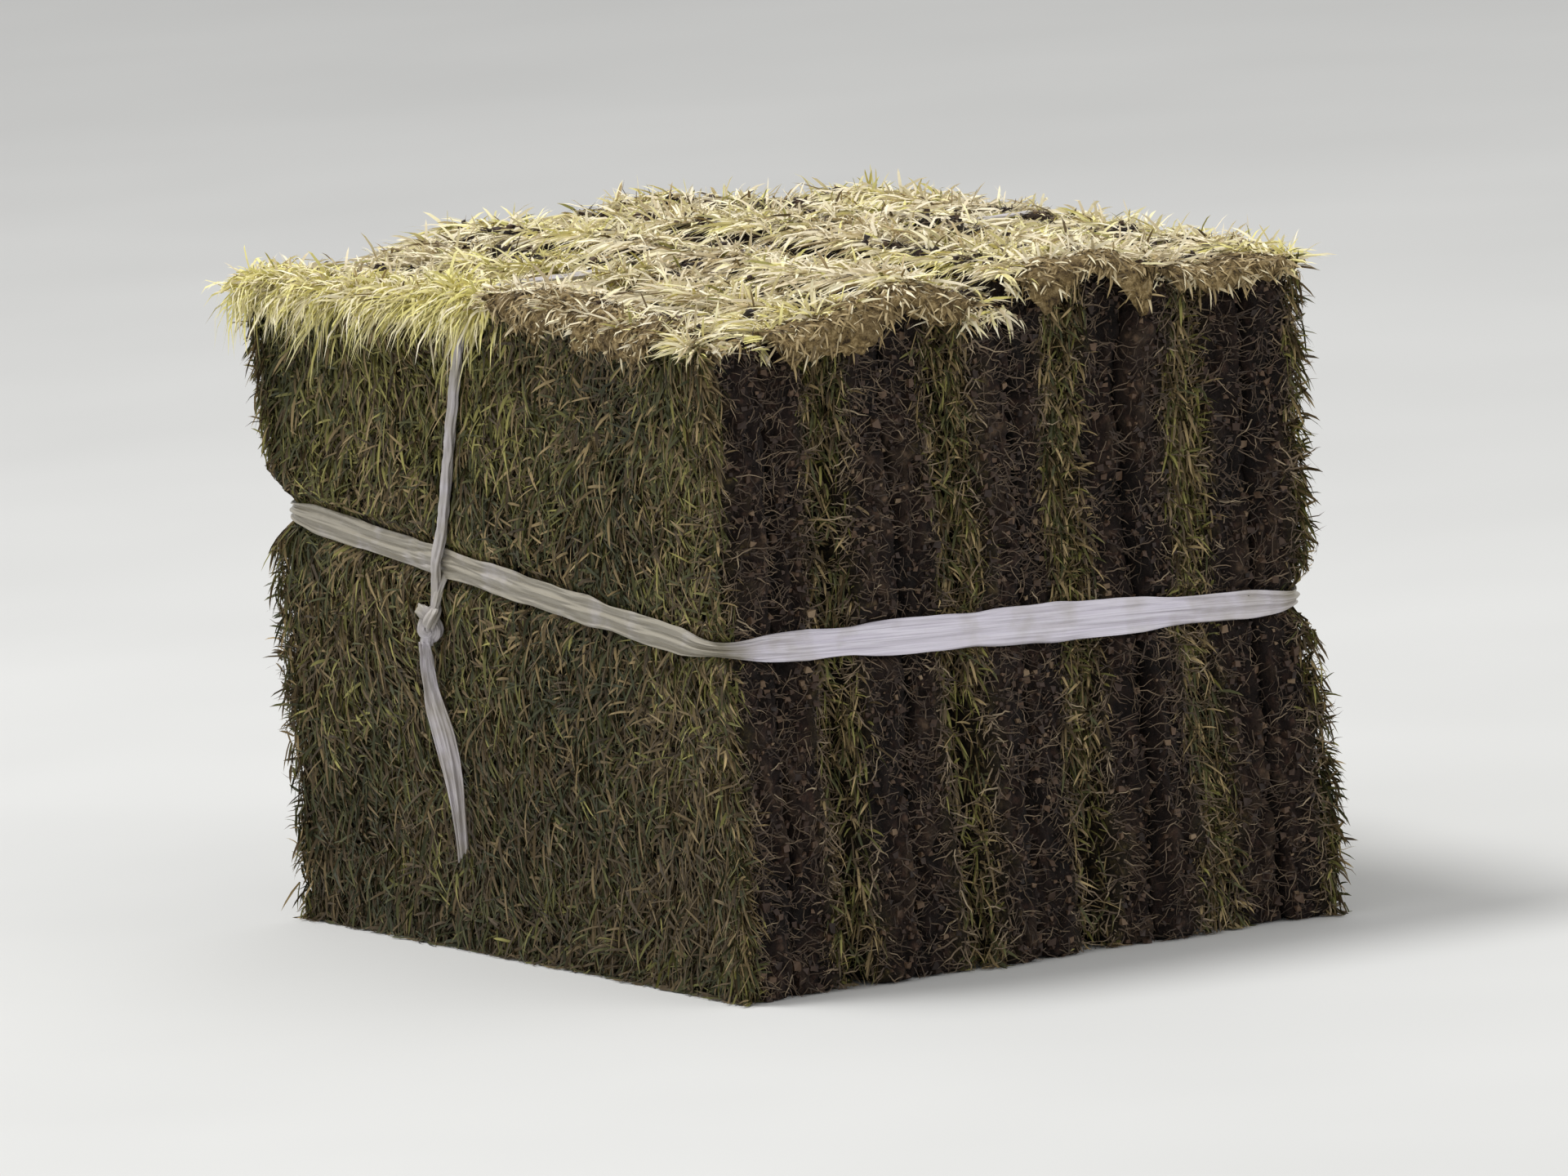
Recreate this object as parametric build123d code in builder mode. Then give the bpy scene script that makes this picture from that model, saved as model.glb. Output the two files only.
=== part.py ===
"""A bundle of cut turf mats that stand on their long edges, tied with flat white tape.

Millimetres. +X runs across the stack, from the left grass face to the right one, +Y runs along
the mats and +Z is up. The origin is on the ground, under the middle of the bundle.
"""

from build123d import *
from math import cos, pi, radians, sin, sqrt, tan
import os

# The mats: standard cut turf, 280 wide, settled a little under its own weight.
mat_count = 10
mat_length = 360.0
mat_height = 272.0
mat_thickness = 27.0
seam_gap = 0.4

# The tape draws the stack in at its waist, and the stack opens out above and below it.
waist_height = 150.0
top_spread = 0.03
foot_spread = 0.012

# Each mat is a little taller or lower than the rest, and stands out further at one end.
height_steps = (-2.0, -6.0, 1.0, 5.0, -3.0, 4.0, 7.0, 2.0, -5.0, -1.0)
front_steps = (1.0, -2.0, 2.5, -1.0, 3.0, 0.0, -2.5, 2.0, -1.5, 1.5)
back_steps = (-1.5, 2.0, 0.5, -2.0, 1.0, 2.5, -1.0, 0.0, 2.0, -2.5)
seam_bows = (0.0, 1.6, -1.2, 2.0, -1.8, 0.8, -2.2, 1.4, -1.0, 1.8)

# The grass side of a mat is soft and round at its edges, and the soil side is cut sharp.
grass_corner_radius = 8.0
top_edge_radius = 6.0

# The tape is flat film, drawn up into a narrow thick band where it is tight.
tape_thickness = 1.0
tape_clearance = 0.2

# The belt lies in one sloping plane: highest at the back left, lowest at the front right.
belt_width = 12.0
belt_height = 148.0
belt_rise_along = 30.0 / 360.0
belt_fall_across = 13.0 / 276.0
belt_bite = 3.0
belt_corner_radius = 16.0
belt_channel_width = 20.0

# The second tape crosses the top and is tied to the belt on both grass faces. It leans, so
# that it moves along the mats as it comes down.
cross_width = 8.0
cross_channel_width = 12.0
cross_bite = 5.0
cross_corner_radius = 14.0
cross_top_y = 6.0
cross_lean = 45.0 / 137.0

# The knots are just under the belt, where the second tape has gone round it.
knot_drop = 24.0
knot_length = 15.0
knot_height = 17.0
knot_depth = 8.0
knot_bevel = 2.0
knot_pocket_margin = 1.0

# The loose end hangs from the left knot. Its points are (along the mats, down) from there.
tail_width = 9.0
tail_thickness = 1.0
tail_inset = 2.5
tail_shift = 1.0
tail_route = ((0.0, 0.0), (0.0, -18.0), (-12.0, -41.0), (-18.0, -66.0), (-18.5, -85.0))

mat_pitch = mat_thickness + seam_gap
half_stack = mat_pitch * mat_count / 2
section_steps = 7
section_shares = [step / section_steps for step in range(section_steps + 1)]
crown_angles = (45, 90)
outside = half_stack


def pick(steps, index):
    """The step of one mat. The list starts again past its end."""
    return steps[index % len(steps)]


def spread(z):
    """How many times as wide as at the waist the stack is at height z."""
    if z > waist_height:
        return 1 + top_spread * ((z - waist_height) / (mat_height - waist_height)) ** 2
    return 1 + foot_spread * ((waist_height - z) / waist_height) ** 2


def seam_x(seam, z):
    """Where a seam is at height z. Seams 0 and mat_count are the two outer grass faces."""
    bow = pick(seam_bows, seam) if 0 < seam < mat_count else 0.0
    return (seam - mat_count / 2) * mat_pitch * spread(z) + bow * sin(pi * z / mat_height)


def cross_y(z):
    """Where the second tape is along the mats, at height z."""
    return cross_top_y + cross_lean * (cross_top_z - z)


def crossing_z(x):
    """The height at which the second tape passes over the belt's middle line, on the face at x."""
    level = belt_height - belt_fall_across * x
    rise = belt_rise_along * (cross_top_y + cross_lean * cross_top_z)
    return (level + rise) / (1 + belt_rise_along * cross_lean)


# The belt's taut inner line, and the place of the second tape's own inner line outside it.
belt_line_x = half_stack - belt_bite
belt_line_y = mat_length / 2 - belt_bite
cross_top_z = mat_height - cross_bite
cross_top_x = half_stack * (1 + top_spread) - cross_bite
cross_low_x = belt_line_x + tape_thickness + 2 * tape_clearance
knot_z_left = crossing_z(-half_stack) - knot_drop
knot_z_right = crossing_z(half_stack) - knot_drop

belt_plane = Plane(
    origin=(0, 0, belt_height),
    x_dir=(1, 0, -belt_fall_across),
    z_dir=(belt_fall_across, -belt_rise_along, 1),
)
cross_plane = Plane(
    origin=(0, cross_top_y, cross_top_z),
    x_dir=(1, 0, 0),
    z_dir=(0, -1, -cross_lean),
)


def along_lean(drop):
    """The distance on the leaning plane that comes down by drop."""
    return drop * sqrt(1 + cross_lean**2)


def cross_outline(grow):
    """The outline of what the second tape holds, grown by a distance, with its round top."""
    left = along_lean(cross_top_z - knot_z_left)
    right = along_lean(cross_top_z - knot_z_right)
    low = cross_low_x + grow
    top = cross_top_x + grow
    with BuildSketch(cross_plane) as outline:
        with BuildLine():
            Polyline((-low, -left), (-top, grow), (top, grow), (low, -right), close=True)
        make_face()
        fillet(outline.vertices().sort_by(Axis.Y)[-2:], cross_corner_radius + grow)
    return outline.sketch_local


def knot_place(side):
    """The middle of the knot on the left (side -1) or the right (side 1) grass face."""
    z = knot_z_left if side < 0 else knot_z_right
    return (side * (cross_low_x + knot_depth / 2), cross_y(z), z)


pressed_line = cross_outline(-tape_clearance)
inner_line = cross_outline(0)
outer_line = cross_outline(tape_thickness)

# What stands outside a tape's line is pressed in, over a strip a little wider than the tape.
with BuildPart() as belt_channel:
    with BuildSketch(belt_plane):
        Rectangle(2 * (belt_line_x + outside), 2 * (belt_line_y + outside))
        RectangleRounded(2 * belt_line_x, 2 * belt_line_y, belt_corner_radius, mode=Mode.SUBTRACT)
    extrude(amount=belt_channel_width / 2, both=True)

with BuildPart() as cross_channel:
    with BuildSketch(cross_plane):
        deep = along_lean(cross_top_z - min(knot_z_left, knot_z_right))
        with Locations((0, -deep / 2 + outside / 2)):
            Rectangle(2 * (cross_top_x + outside), deep + outside)
        add(pressed_line, mode=Mode.SUBTRACT)
    extrude(amount=cross_channel_width / 2, both=True, dir=(0, 1, 0))

with BuildPart() as knot_pockets:
    for side in (-1, 1):
        x, y, z = knot_place(side)
        with Locations((x + side * outside / 2, y, z)):
            Box(
                knot_depth + outside + 2 * tape_clearance,
                knot_length + 2 * knot_pocket_margin,
                knot_height + 2 * knot_pocket_margin,
            )

# The mats. Each is a loft through level sections between its two seams. The last two sections
# turn in over the top, except on the soil side.
for number in range(mat_count):
    height = mat_height + pick(height_steps, number)
    grass_on_left = number % 2 == 0
    body_height = height - top_edge_radius
    levels = [(share * body_height, 0.0) for share in section_shares]
    for angle in crown_angles:
        rise = top_edge_radius * sin(radians(angle))
        levels.append((body_height + rise, top_edge_radius * (1 - cos(radians(angle)))))
    with BuildPart() as turf_mat:
        for z, inset in levels:
            left = seam_x(number, z) + seam_gap / 2 + (inset if grass_on_left else 0)
            right = seam_x(number + 1, z) - seam_gap / 2 - (0 if grass_on_left else inset)
            front = -mat_length / 2 * spread(z) - pick(front_steps, number) + inset
            back = mat_length / 2 * spread(z) + pick(back_steps, number) - inset
            with BuildSketch(Plane.XY.offset(z)) as section:
                with Locations(((left + right) / 2, (front + back) / 2)):
                    Rectangle(right - left, back - front)
                across = section.vertices().group_by(Axis.X)
                grass_corners = across[0] if grass_on_left else across[-1]
                fillet(grass_corners, grass_corner_radius - inset)
        loft(ruled=True)
        add(belt_channel.part, mode=Mode.SUBTRACT)
        add(cross_channel.part, mode=Mode.SUBTRACT)
        add(knot_pockets.part, mode=Mode.SUBTRACT)
    turf_mat.part.label = f"turf_mat_{number + 1:02d}"
    export_step(turf_mat.part, f"parts/{turf_mat.part.label}.step")

# The belt, pulled tight round the four upright sides.
with BuildPart() as tape_belt:
    with BuildSketch(belt_plane):
        inner = tape_clearance
        outer = tape_clearance + tape_thickness
        RectangleRounded(
            2 * (belt_line_x + outer), 2 * (belt_line_y + outer), belt_corner_radius + outer
        )
        RectangleRounded(
            2 * (belt_line_x + inner),
            2 * (belt_line_y + inner),
            belt_corner_radius + inner,
            mode=Mode.SUBTRACT,
        )
    extrude(amount=belt_width / 2, both=True)

tape_belt.part.label = "tape_belt"
export_step(tape_belt.part, "parts/tape_belt.step")

# The second tape with its two knots.
with BuildPart() as knots:
    with Locations(knot_place(-1), knot_place(1)):
        Box(knot_depth, knot_length, knot_height)
    chamfer(knots.edges(), knot_bevel)

with BuildPart() as tape_cross:
    with BuildSketch(cross_plane):
        add(outer_line)
        add(inner_line, mode=Mode.SUBTRACT)
    extrude(amount=cross_width / 2, both=True, dir=(0, 1, 0))
    add(knots.part)

tape_cross.part.label = "tape_cross"
export_step(tape_cross.part, "parts/tape_cross.step")

# The loose end: a ribbon that lies flat in front of the grass and hangs from the left knot.
knot_x, knot_y, knot_z = knot_place(-1)
tail_plane = Plane(
    origin=(knot_x - knot_depth / 2 + tail_inset, knot_y + tail_shift, knot_z - knot_height / 2),
    x_dir=(0, 1, 0),
    z_dir=(1, 0, 0),
)
tail_points = [Vector(*point) for point in tail_route]
tail_runs = [b - a for a, b in zip(tail_points, tail_points[1:])]
tail_radii = [
    0.45 * min(a.length, b.length) / tan(radians(a.get_angle(b)) / 2)
    for a, b in zip(tail_runs, tail_runs[1:])
]
print("tail radii", [round(radius) for radius in tail_radii])
with BuildPart() as tape_tail:
    with BuildSketch(tail_plane):
        with BuildLine() as tail_line:
            FilletPolyline(*tail_points, radius=tail_radii)
        trace(line_width=tail_width)
    extrude(amount=tail_thickness / 2, both=True)

print("tail length", round(sum(edge.length for edge in tail_line.edges()), 1))
tape_tail.part.label = "tape_tail"
export_step(tape_tail.part, "parts/tape_tail.step")
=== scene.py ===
# %% [markdown]
# # A bundle of cut turf mats
#
# Ten mats of cut turf stand on their long edges, side by side, and flat white tape holds them
# together. The lesson places the camera and the loose end of the tape first. Then come the soil,
# the grass and the roots, and last the rest of the tape, the floor and the light.
#
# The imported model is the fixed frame. It says where every piece goes and how large it is.

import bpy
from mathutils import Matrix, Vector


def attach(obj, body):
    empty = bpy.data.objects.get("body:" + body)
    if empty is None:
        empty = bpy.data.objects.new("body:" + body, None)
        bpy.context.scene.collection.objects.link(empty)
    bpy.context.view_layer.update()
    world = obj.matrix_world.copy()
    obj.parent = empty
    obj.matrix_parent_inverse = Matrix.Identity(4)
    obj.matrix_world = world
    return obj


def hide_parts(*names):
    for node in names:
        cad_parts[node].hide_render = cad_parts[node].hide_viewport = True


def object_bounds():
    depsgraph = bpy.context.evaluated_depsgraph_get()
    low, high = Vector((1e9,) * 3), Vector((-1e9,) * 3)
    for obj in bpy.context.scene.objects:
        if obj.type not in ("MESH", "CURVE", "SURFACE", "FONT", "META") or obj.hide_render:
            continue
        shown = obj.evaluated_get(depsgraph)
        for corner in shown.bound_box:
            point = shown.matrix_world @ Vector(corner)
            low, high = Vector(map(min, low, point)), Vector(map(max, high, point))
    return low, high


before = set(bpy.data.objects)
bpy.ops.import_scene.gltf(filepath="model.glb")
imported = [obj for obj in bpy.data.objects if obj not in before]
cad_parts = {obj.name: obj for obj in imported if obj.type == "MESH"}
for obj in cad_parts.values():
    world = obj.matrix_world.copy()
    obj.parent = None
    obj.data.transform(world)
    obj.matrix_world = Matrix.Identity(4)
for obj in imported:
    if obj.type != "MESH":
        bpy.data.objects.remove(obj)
cad_low, cad_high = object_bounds()
print("the frame measures", [round(side, 3) for side in cad_high - cad_low], "m")

# %% Bring in what the lesson uses
import bpy
import numpy as np
from mathutils import Quaternion, Vector

MM = 0.001
print("one Blender unit is", 1 / MM, "mm")

# %% [markdown]
# ## The camera
#
# The bundle is seen from its front left, a little from above and from far away, so its upright
# edges are nearly parallel. A long lens from nine metres gives that look. The camera is turned
# four degrees about its own axis, so the bundle leans to the left as it does in the photograph.
# Depth of field stays off, because a stock part has to be sharp all over.

# %% Place the camera
camera_at = Vector((-4.38, -7.86, 1.34))
looked_at = Vector((-0.004, 0.0, 0.134))
camera_lens_mm = 520.0
camera_roll = Quaternion((0, 0, 1), np.radians(-4.0))

camera_data = bpy.data.cameras.new("camera")
camera_data.lens = camera_lens_mm
camera_data.clip_end = 40.0
camera = bpy.data.objects.new("camera", camera_data)
camera.location = camera_at
aim = (looked_at - camera_at).to_track_quat("-Z", "Y")
camera.rotation_euler = (aim @ camera_roll).to_euler()
bpy.context.scene.collection.objects.link(camera)
bpy.context.scene.camera = camera
print("the camera is", round((looked_at - camera_at).length, 2), "m away")

# %% [markdown]
# ## Random fields
#
# Soil, grass and film are all uneven, but not without order: places near each other are alike.
# A lattice of random numbers, mixed smoothly between its points, gives that. Blender's noise
# textures could move the points too, but then grass and soil wouldn't move together. Each
# pattern has a size in millimetres and a seed of its own, so no two are alike, and each run of
# the script gives the same ones.

# %% Make the random fields
dice = np.random.default_rng(3260)
LATTICE = dice.uniform(-1, 1, 8192)


def field(points, size, seed):
    """A smooth random field of about -1 to 1. Each corner of a cubic lattice of the given
    spacing has its own random value, and a place between them takes the mix of its eight
    corners with weights eased by three t squared minus two t cubed."""
    cell = points / size
    corner = np.floor(cell).astype(np.int64)
    part = cell - corner
    part = part * part * (3 - 2 * part)
    total = np.zeros(points.shape[:-1])
    for step in np.ndindex(2, 2, 2):
        at = corner + step
        key = at[..., 0] * 73856093 ^ at[..., 1] * 19349663 ^ at[..., 2] * 83492791
        weight = np.prod(np.where(step, part, 1 - part), axis=-1)
        total += weight * LATTICE[(key + seed * 977) % LATTICE.size]
    return total


def layered(points, size, seed, layers):
    """Several random fields added: each has half the spacing and half the height of the last."""
    return sum(field(points, size / 2**k, seed=seed + k) / 2**k for k in range(layers))


def lumpy(points, size, seed, layers):
    """Round lumps with sharp creases between them: fields whose low parts are folded up."""
    folded = [2 * np.abs(field(points, size / 2**k, seed=seed + k)) - 0.6 for k in range(layers)]
    return sum(lumps / 2**k for k, lumps in enumerate(folded))


def hill(value, centre, width):
    """A smooth hill of height one: e to minus the square of the distance over the width."""
    return np.exp(-(((value - centre) / width) ** 2))


sample = layered(dice.uniform(0, 500, (4000, 3)), 20, seed=1, layers=3)
print("the field runs from", sample.min().round(2), "to", sample.max().round(2))

# %% [markdown]
# ## The values of the bundle
#
# All shapes are worked out in millimetres and become metres when they enter a mesh. The stack
# is narrowest where the tape ties it, and it opens out above and below. Each mat is a little
# different from its neighbours, and its two faces wander, because turf is soft and was cut and
# stacked in a hurry.

# %% Name the sizes of the stack
MAT_COUNT = 10
MAT_PITCH = 27.4
HALF_STACK = MAT_PITCH * MAT_COUNT / 2
HALF_LENGTH = 180.0
MAT_HEIGHT = 272.0
WAIST = 150.0
HEIGHT_STEPS = np.array((-2, -6, 1, 5, -3, 4, 7, 2, -5, -1), float)
FRONT_STEPS = np.array((1, -2, 2.5, -1, 3, 0, -2.5, 2, -1.5, 1.5), float)
BACK_STEPS = np.array((-1.5, 2, 0.5, -2, 1, 2.5, -1, 0, 2, -2.5), float)
SEAM_BOWS = np.array((0, 1.6, -1.2, 2, -1.8, 0.8, -2.2, 1.4, -1, 1.8, 0), float)
TOP_SPREAD = 0.03
FOOT_SPREAD = 0.012
# How far through a mat its soil goes before the sward begins.
SOIL_SHARE = 0.76
print("the stack is", 2 * HALF_STACK, "mm wide at its waist")


# %% Place things in the stack
def spread(z):
    """How many times as wide as at the waist the stack is: one, plus a share that grows with
    the square of the distance from the waist, up to 3 % at the top and 1.2 % at the foot."""
    above = np.maximum(z - WAIST, 0) / (MAT_HEIGHT - WAIST)
    below = np.maximum(WAIST - z, 0) / WAIST
    return 1 + TOP_SPREAD * above**2 + FOOT_SPREAD * below**2


def seam_x(seam, y, z):
    """Where a seam is across the stack: its place in the row times the spread, plus a bow that
    is half a sine wave from the ground to the top, plus a random field along the seam."""
    bowed = SEAM_BOWS[seam] * np.sin(np.pi * np.clip(z / MAT_HEIGHT, 0, 1))
    place = np.stack(np.broadcast_arrays(seam * 300.0, y, z), -1)
    wander = 3.0 * layered(place, 56, seed=210, layers=3) if 0 < seam < MAT_COUNT else 0.0
    return (seam - MAT_COUNT / 2) * MAT_PITCH * spread(z) + bowed + wander


def grass_side(mat):
    """-1 for a mat with its grass to the left and 1 for one with its grass to the right. They
    take turns, so grass lies on grass and soil on soil."""
    return -1 if mat % 2 == 0 else 1


def across_mat(mat, share, y, z):
    """The place across the stack of a share of a mat's thickness, 0 on its soil side and 1 on
    its grass side."""
    left, right = seam_x(mat, y, z) + 0.3, seam_x(mat + 1, y, z) - 0.3
    return left + (right - left) * (share if grass_side(mat) > 0 else 1 - share)


def along_mat(mat, y, z):
    """A place along a flat mat as a place on the real one: it is widened by the spread and
    moved by the mat's own steps, front and back."""
    step = np.where(y < 0, -FRONT_STEPS[mat], BACK_STEPS[mat])
    return y * spread(z) + step * np.clip(np.abs(y) / HALF_LENGTH, 0, 1)


def on_mat(mat, share, y, z):
    """Points on the real mat: a share of its thickness, a place along it and a height."""
    return np.stack((across_mat(mat, share, y, z), along_mat(mat, y, z), z), -1)


def mat_top(mat, y):
    """The height of a mat's top edge along the mat: its own height, plus a slow random wave,
    less the droop of its two ends."""
    place = np.stack(np.broadcast_arrays(mat * 170.0, y, 0.0), -1)
    droop = 3.5 * np.clip((np.abs(y) - 145) / 35, 0, 1) ** 2
    return MAT_HEIGHT + HEIGHT_STEPS[mat] - 2.0 + 2.6 * layered(place, 66, seed=230, layers=2) - droop


print("the first mat is", round(float(mat_top(0, 0.0))), "mm high in its middle")

# %% [markdown]
# ## A soft heavy bundle
#
# The stack leans and bulges a little as a whole. A lattice round it could bend it, but a
# function does the same with fewer steps. Every soft thing goes through the same slump once it
# has its place, so soil and grass stay together. What would then stand too far out of the frame
# is drawn in.


# %% Let the bundle slump
def slump(points):
    """The slow lean and bulge of a soft heavy bundle: random fields as large as a hand, which
    fade out at the ground."""
    rise = np.clip(points[..., 2] / 60, 0, 1)
    moved = points.copy()
    moved[..., 0] += 3.2 * layered(points, 140, seed=240, layers=2) * rise
    moved[..., 1] += 3.2 * layered(points, 140, seed=241, layers=2) * rise
    moved[..., 2] += 2.8 * field(points, 130, seed=242) * np.clip(points[..., 2] / MAT_HEIGHT, 0, 1)
    return moved


def hold(points):
    """Draws in what stands too far out. From a few millimetres past the frame's box, the way
    out is bent to a curve that levels off 8 mm further on, or 6 mm upwards."""
    slack, more = np.array((5.0, 7.0, 4.0)), np.array((8.0, 8.0, 6.0))
    over = np.maximum(points - np.array(cad_high) / MM - slack, 0)
    under = np.maximum(np.array(cad_low) / MM - slack - points, 0)
    return points - over + under + more * (np.exp(-under / more) - np.exp(-over / more))


print("a corner of the top slumps to", slump(np.array((-140.0, -180.0, 272.0))).round(1))

# %% [markdown]
# ## Where the tapes run
#
# The belt lies in one sloping plane. The second tape crosses the top, leans as it comes down
# both grass faces, and is tied under the belt. Soil and grass give way under both tapes, so
# these lines are needed before anything soft is made.

# %% Name the lines of the tapes
BELT_LEVEL = 148.0
BELT_RISE = 30.0 / 360.0
BELT_FALL = 13.0 / 276.0
BELT_X = 134.6
BELT_Y = 177.4
BELT_CORNER = 16.6
STRAP_TOP = 267.6
STRAP_X = 136.0
STRAP_TOP_X = 136.6
STRAP_CORNER = 14.5
STRAP_Y = 6.0
STRAP_LEAN = 45.0 / 137.0
STRAP_HALF = 3.2
KNOTS = np.array(((-139.4, 49.7, 133.9), (139.4, 53.8, 121.4)))
KNOT_RADIUS = 8.0
KNOT_DEPTH = 3.6
TAIL_X = 138.4
TAIL_HALF = 5.0
TAIL_DROP = 94


def belt_z(x, y):
    """The height of the belt's plane: its level, plus a rise along and a fall across."""
    return BELT_LEVEL + BELT_RISE * y - BELT_FALL * x


def strap_y(z):
    """Where the second tape is along the mats: it moves back by its lean as it comes down."""
    return STRAP_Y + STRAP_LEAN * (STRAP_TOP - z)


def belt_half_width(x, y):
    """Half of the belt's width. The film is gathered on the grass faces and tightest at the
    corners, and it lies open and flat over the middle of the front and the back."""
    on_end = np.clip((np.abs(y) - 150) / 20, 0, 1)
    open_film = 2.3 * hill(x, 0, 58) * (y < 0) + 1.8 * hill(x, 30, 70) * (y > 0)
    pinched = 3.0 * hill(np.abs(x), 132, 15) * on_end
    return 5.7 + open_film * on_end - pinched


print("the knots are at heights", KNOTS[:, 2], "mm")

# %% [markdown]
# ## Pressing soft things under the tape
#
# Grass and soil near a tape are squeezed in. A simulation could press them, but not a hundred
# thousand leaves at once. Here each tape's line is treated as a rounded rectangle. Whatever
# stands outside it is moved straight in to a limit that is the line itself under the film, and
# slopes outwards on both sides of it.

# %% Define the squeeze
# How far leaves and soil may stand out beside the film, and how far they stay behind it, in mm.
LEAF_GIVE = (12, 1.3)
SOIL_GIVE = (6, 1.8)


def rounded_distance(a, b, half_a, half_b, radius):
    """Signed distance to a rounded rectangle, and the outward direction. Past the inner
    rectangle, whose corners are the arcs' centres, it is the distance to it less the radius."""
    over_a = np.abs(a) - (half_a - radius)
    over_b = np.abs(b) - (half_b - radius)
    out_a, out_b = np.maximum(over_a, 0), np.maximum(over_b, 0)
    length = np.hypot(out_a, out_b)
    distance = length + np.minimum(np.maximum(over_a, over_b), 0) - radius
    safe = np.maximum(length, 1e-9)
    return distance, np.sign(a) * out_a / safe, np.sign(b) * out_b / safe


def give(beside, depth, margin):
    """How far soft matter may stand out of a tape's line at a distance beside the film: minus
    the margin under the film, then a curve that rises steeply and levels off at the depth
    within about 20 mm, plus a gentle slope."""
    beside = np.maximum(beside - 1.0, 0)
    return depth * (1 - np.exp(-beside / 9.0)) + 0.35 * beside - margin


def press(points, depth, margin):
    """Moves points in under the tapes, the knots and the loose end, to the limit that give
    works out from the distance beside each of them."""
    x, y, z = points[..., 0].copy(), points[..., 1].copy(), points[..., 2].copy()
    distance, out_x, out_y = rounded_distance(x, y, BELT_X, BELT_Y, BELT_CORNER)
    beside = np.maximum(np.abs(z - belt_z(x, y)) - belt_half_width(x, y), 0)
    over = np.maximum(distance - give(beside, depth, margin), 0)
    x -= out_x * over
    y -= out_y * over
    # The second tape holds a rectangle that reaches far below the ground and ends at its knots.
    below = 400
    base = STRAP_TOP - below
    distance, out_x, out_z = rounded_distance(x, z - base, STRAP_X, below, STRAP_CORNER)
    foot = np.where(x < 0, KNOTS[0, 2], KNOTS[1, 2]) - KNOT_RADIUS
    beside = np.hypot(np.maximum(np.abs(y - strap_y(z)) - STRAP_HALF, 0), np.maximum(foot - z, 0))
    over = np.maximum(distance - give(beside, depth, margin), 0)
    x -= out_x * over
    z -= out_z * over
    for knot in KNOTS:
        beside = np.maximum(np.hypot(y - knot[1], z - knot[2]) - KNOT_RADIUS, 0)
        limit = abs(knot[0]) - KNOT_DEPTH + give(beside, depth, margin)
        x = np.where(x * knot[0] > 0, np.sign(x) * np.minimum(np.abs(x), limit), x)
    # The loose end hangs straight, moves forward over 40 mm and hangs straight again.
    drop = KNOTS[0, 2] - z
    tail_y = 50.7 - 18.5 * np.clip((drop - 22) / 40, 0, 1)
    beside = np.hypot(np.maximum(np.abs(y - tail_y) - TAIL_HALF, 0), np.maximum(drop - TAIL_DROP, 0))
    beside = np.where(drop > 0, beside, 99)
    x = np.where(x < 0, np.maximum(x, -TAIL_X - give(beside, depth, margin)), x)
    return np.stack((x, y, z), -1)


print("a point over the belt moves to", press(np.array((-140.0, 0, 154)), *LEAF_GIVE).round(1))

# %% [markdown]
# ## From arrays to meshes
#
# Every piece is computed as whole arrays and handed to Blender in one go. The map of each piece
# is laid out with it: a grid is simply its rows and columns, so no face overlaps another.

# %% Define the mesh maker
def new_piece(name, points, corners, sizes, flat_map, material, smooth, **marks):
    """Makes an object from arrays: points in millimetres, the corner list of all faces, the
    number of corners of each face, a place on the map for each corner, and any number of
    named values, one for each point."""
    mesh = bpy.data.meshes.new(name)
    mesh.vertices.add(len(points))
    mesh.vertices.foreach_set("co", (points * MM).astype(np.float32).ravel())
    mesh.loops.add(len(corners))
    mesh.loops.foreach_set("vertex_index", corners.astype(np.int32))
    mesh.polygons.add(len(sizes))
    starts = np.concatenate(((0,), np.cumsum(sizes)[:-1]))
    mesh.polygons.foreach_set("loop_start", starts.astype(np.int32))
    mesh.update(calc_edges=True)
    mesh.validate()
    mesh.polygons.foreach_set("use_smooth", np.full(len(sizes), smooth))
    layer = mesh.uv_layers.new(name="OFBake")
    layer.uv.foreach_set("vector", flat_map.astype(np.float32).ravel())
    for mark, values in marks.items():
        held = mesh.attributes.new(mark, "FLOAT", "POINT")
        held.data.foreach_set("value", values.astype(np.float32).ravel())
    mesh.materials.append(material)
    piece = bpy.data.objects.new(name, mesh)
    bpy.context.scene.collection.objects.link(piece)
    return piece


def grid_faces(rows, columns, looped):
    """The corners of a grid's four-sided faces and their places on the map. The last column is
    joined to the first, and in a looped grid the last row is joined to the first too."""
    row, column = np.mgrid[0 : rows - (0 if looped else 1), 0:columns]
    below, after = (row + 1) % rows * columns, (column + 1) % columns
    row_start = row * columns
    quad = (row_start + column, row_start + after, below + after, below + column)
    across = np.stack((column, column + 1, column + 1, column), -1) / columns
    down = np.stack((row, row, row + 1, row + 1), -1) / (rows if looped else rows - 1)
    return np.stack(quad, -1).reshape(-1, 4), np.stack((across, down), -1).reshape(-1, 4, 2)


print("a grid of 3 rows and 4 columns has", len(grid_faces(3, 4, False)[0]), "faces")

# %% [markdown]
# ## Lines with round corners
#
# The belt, the second tape and the outline of a mat are all lines with round corners. Each is
# put together from quarter turns, and then its points are spaced evenly.


# %% Define lines and directions
def unit(vectors):
    """The same directions with length one."""
    return vectors / np.linalg.norm(vectors, axis=-1, keepdims=True)


def quarter_turn(centre, radius, start):
    """A quarter turn round a centre: its points at the radius, and the directions outwards."""
    angle = start + np.linspace(0, np.pi / 2, 14)
    ray = np.stack((np.cos(angle), np.sin(angle)), -1)
    return np.array(centre) + radius * ray, ray


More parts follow.
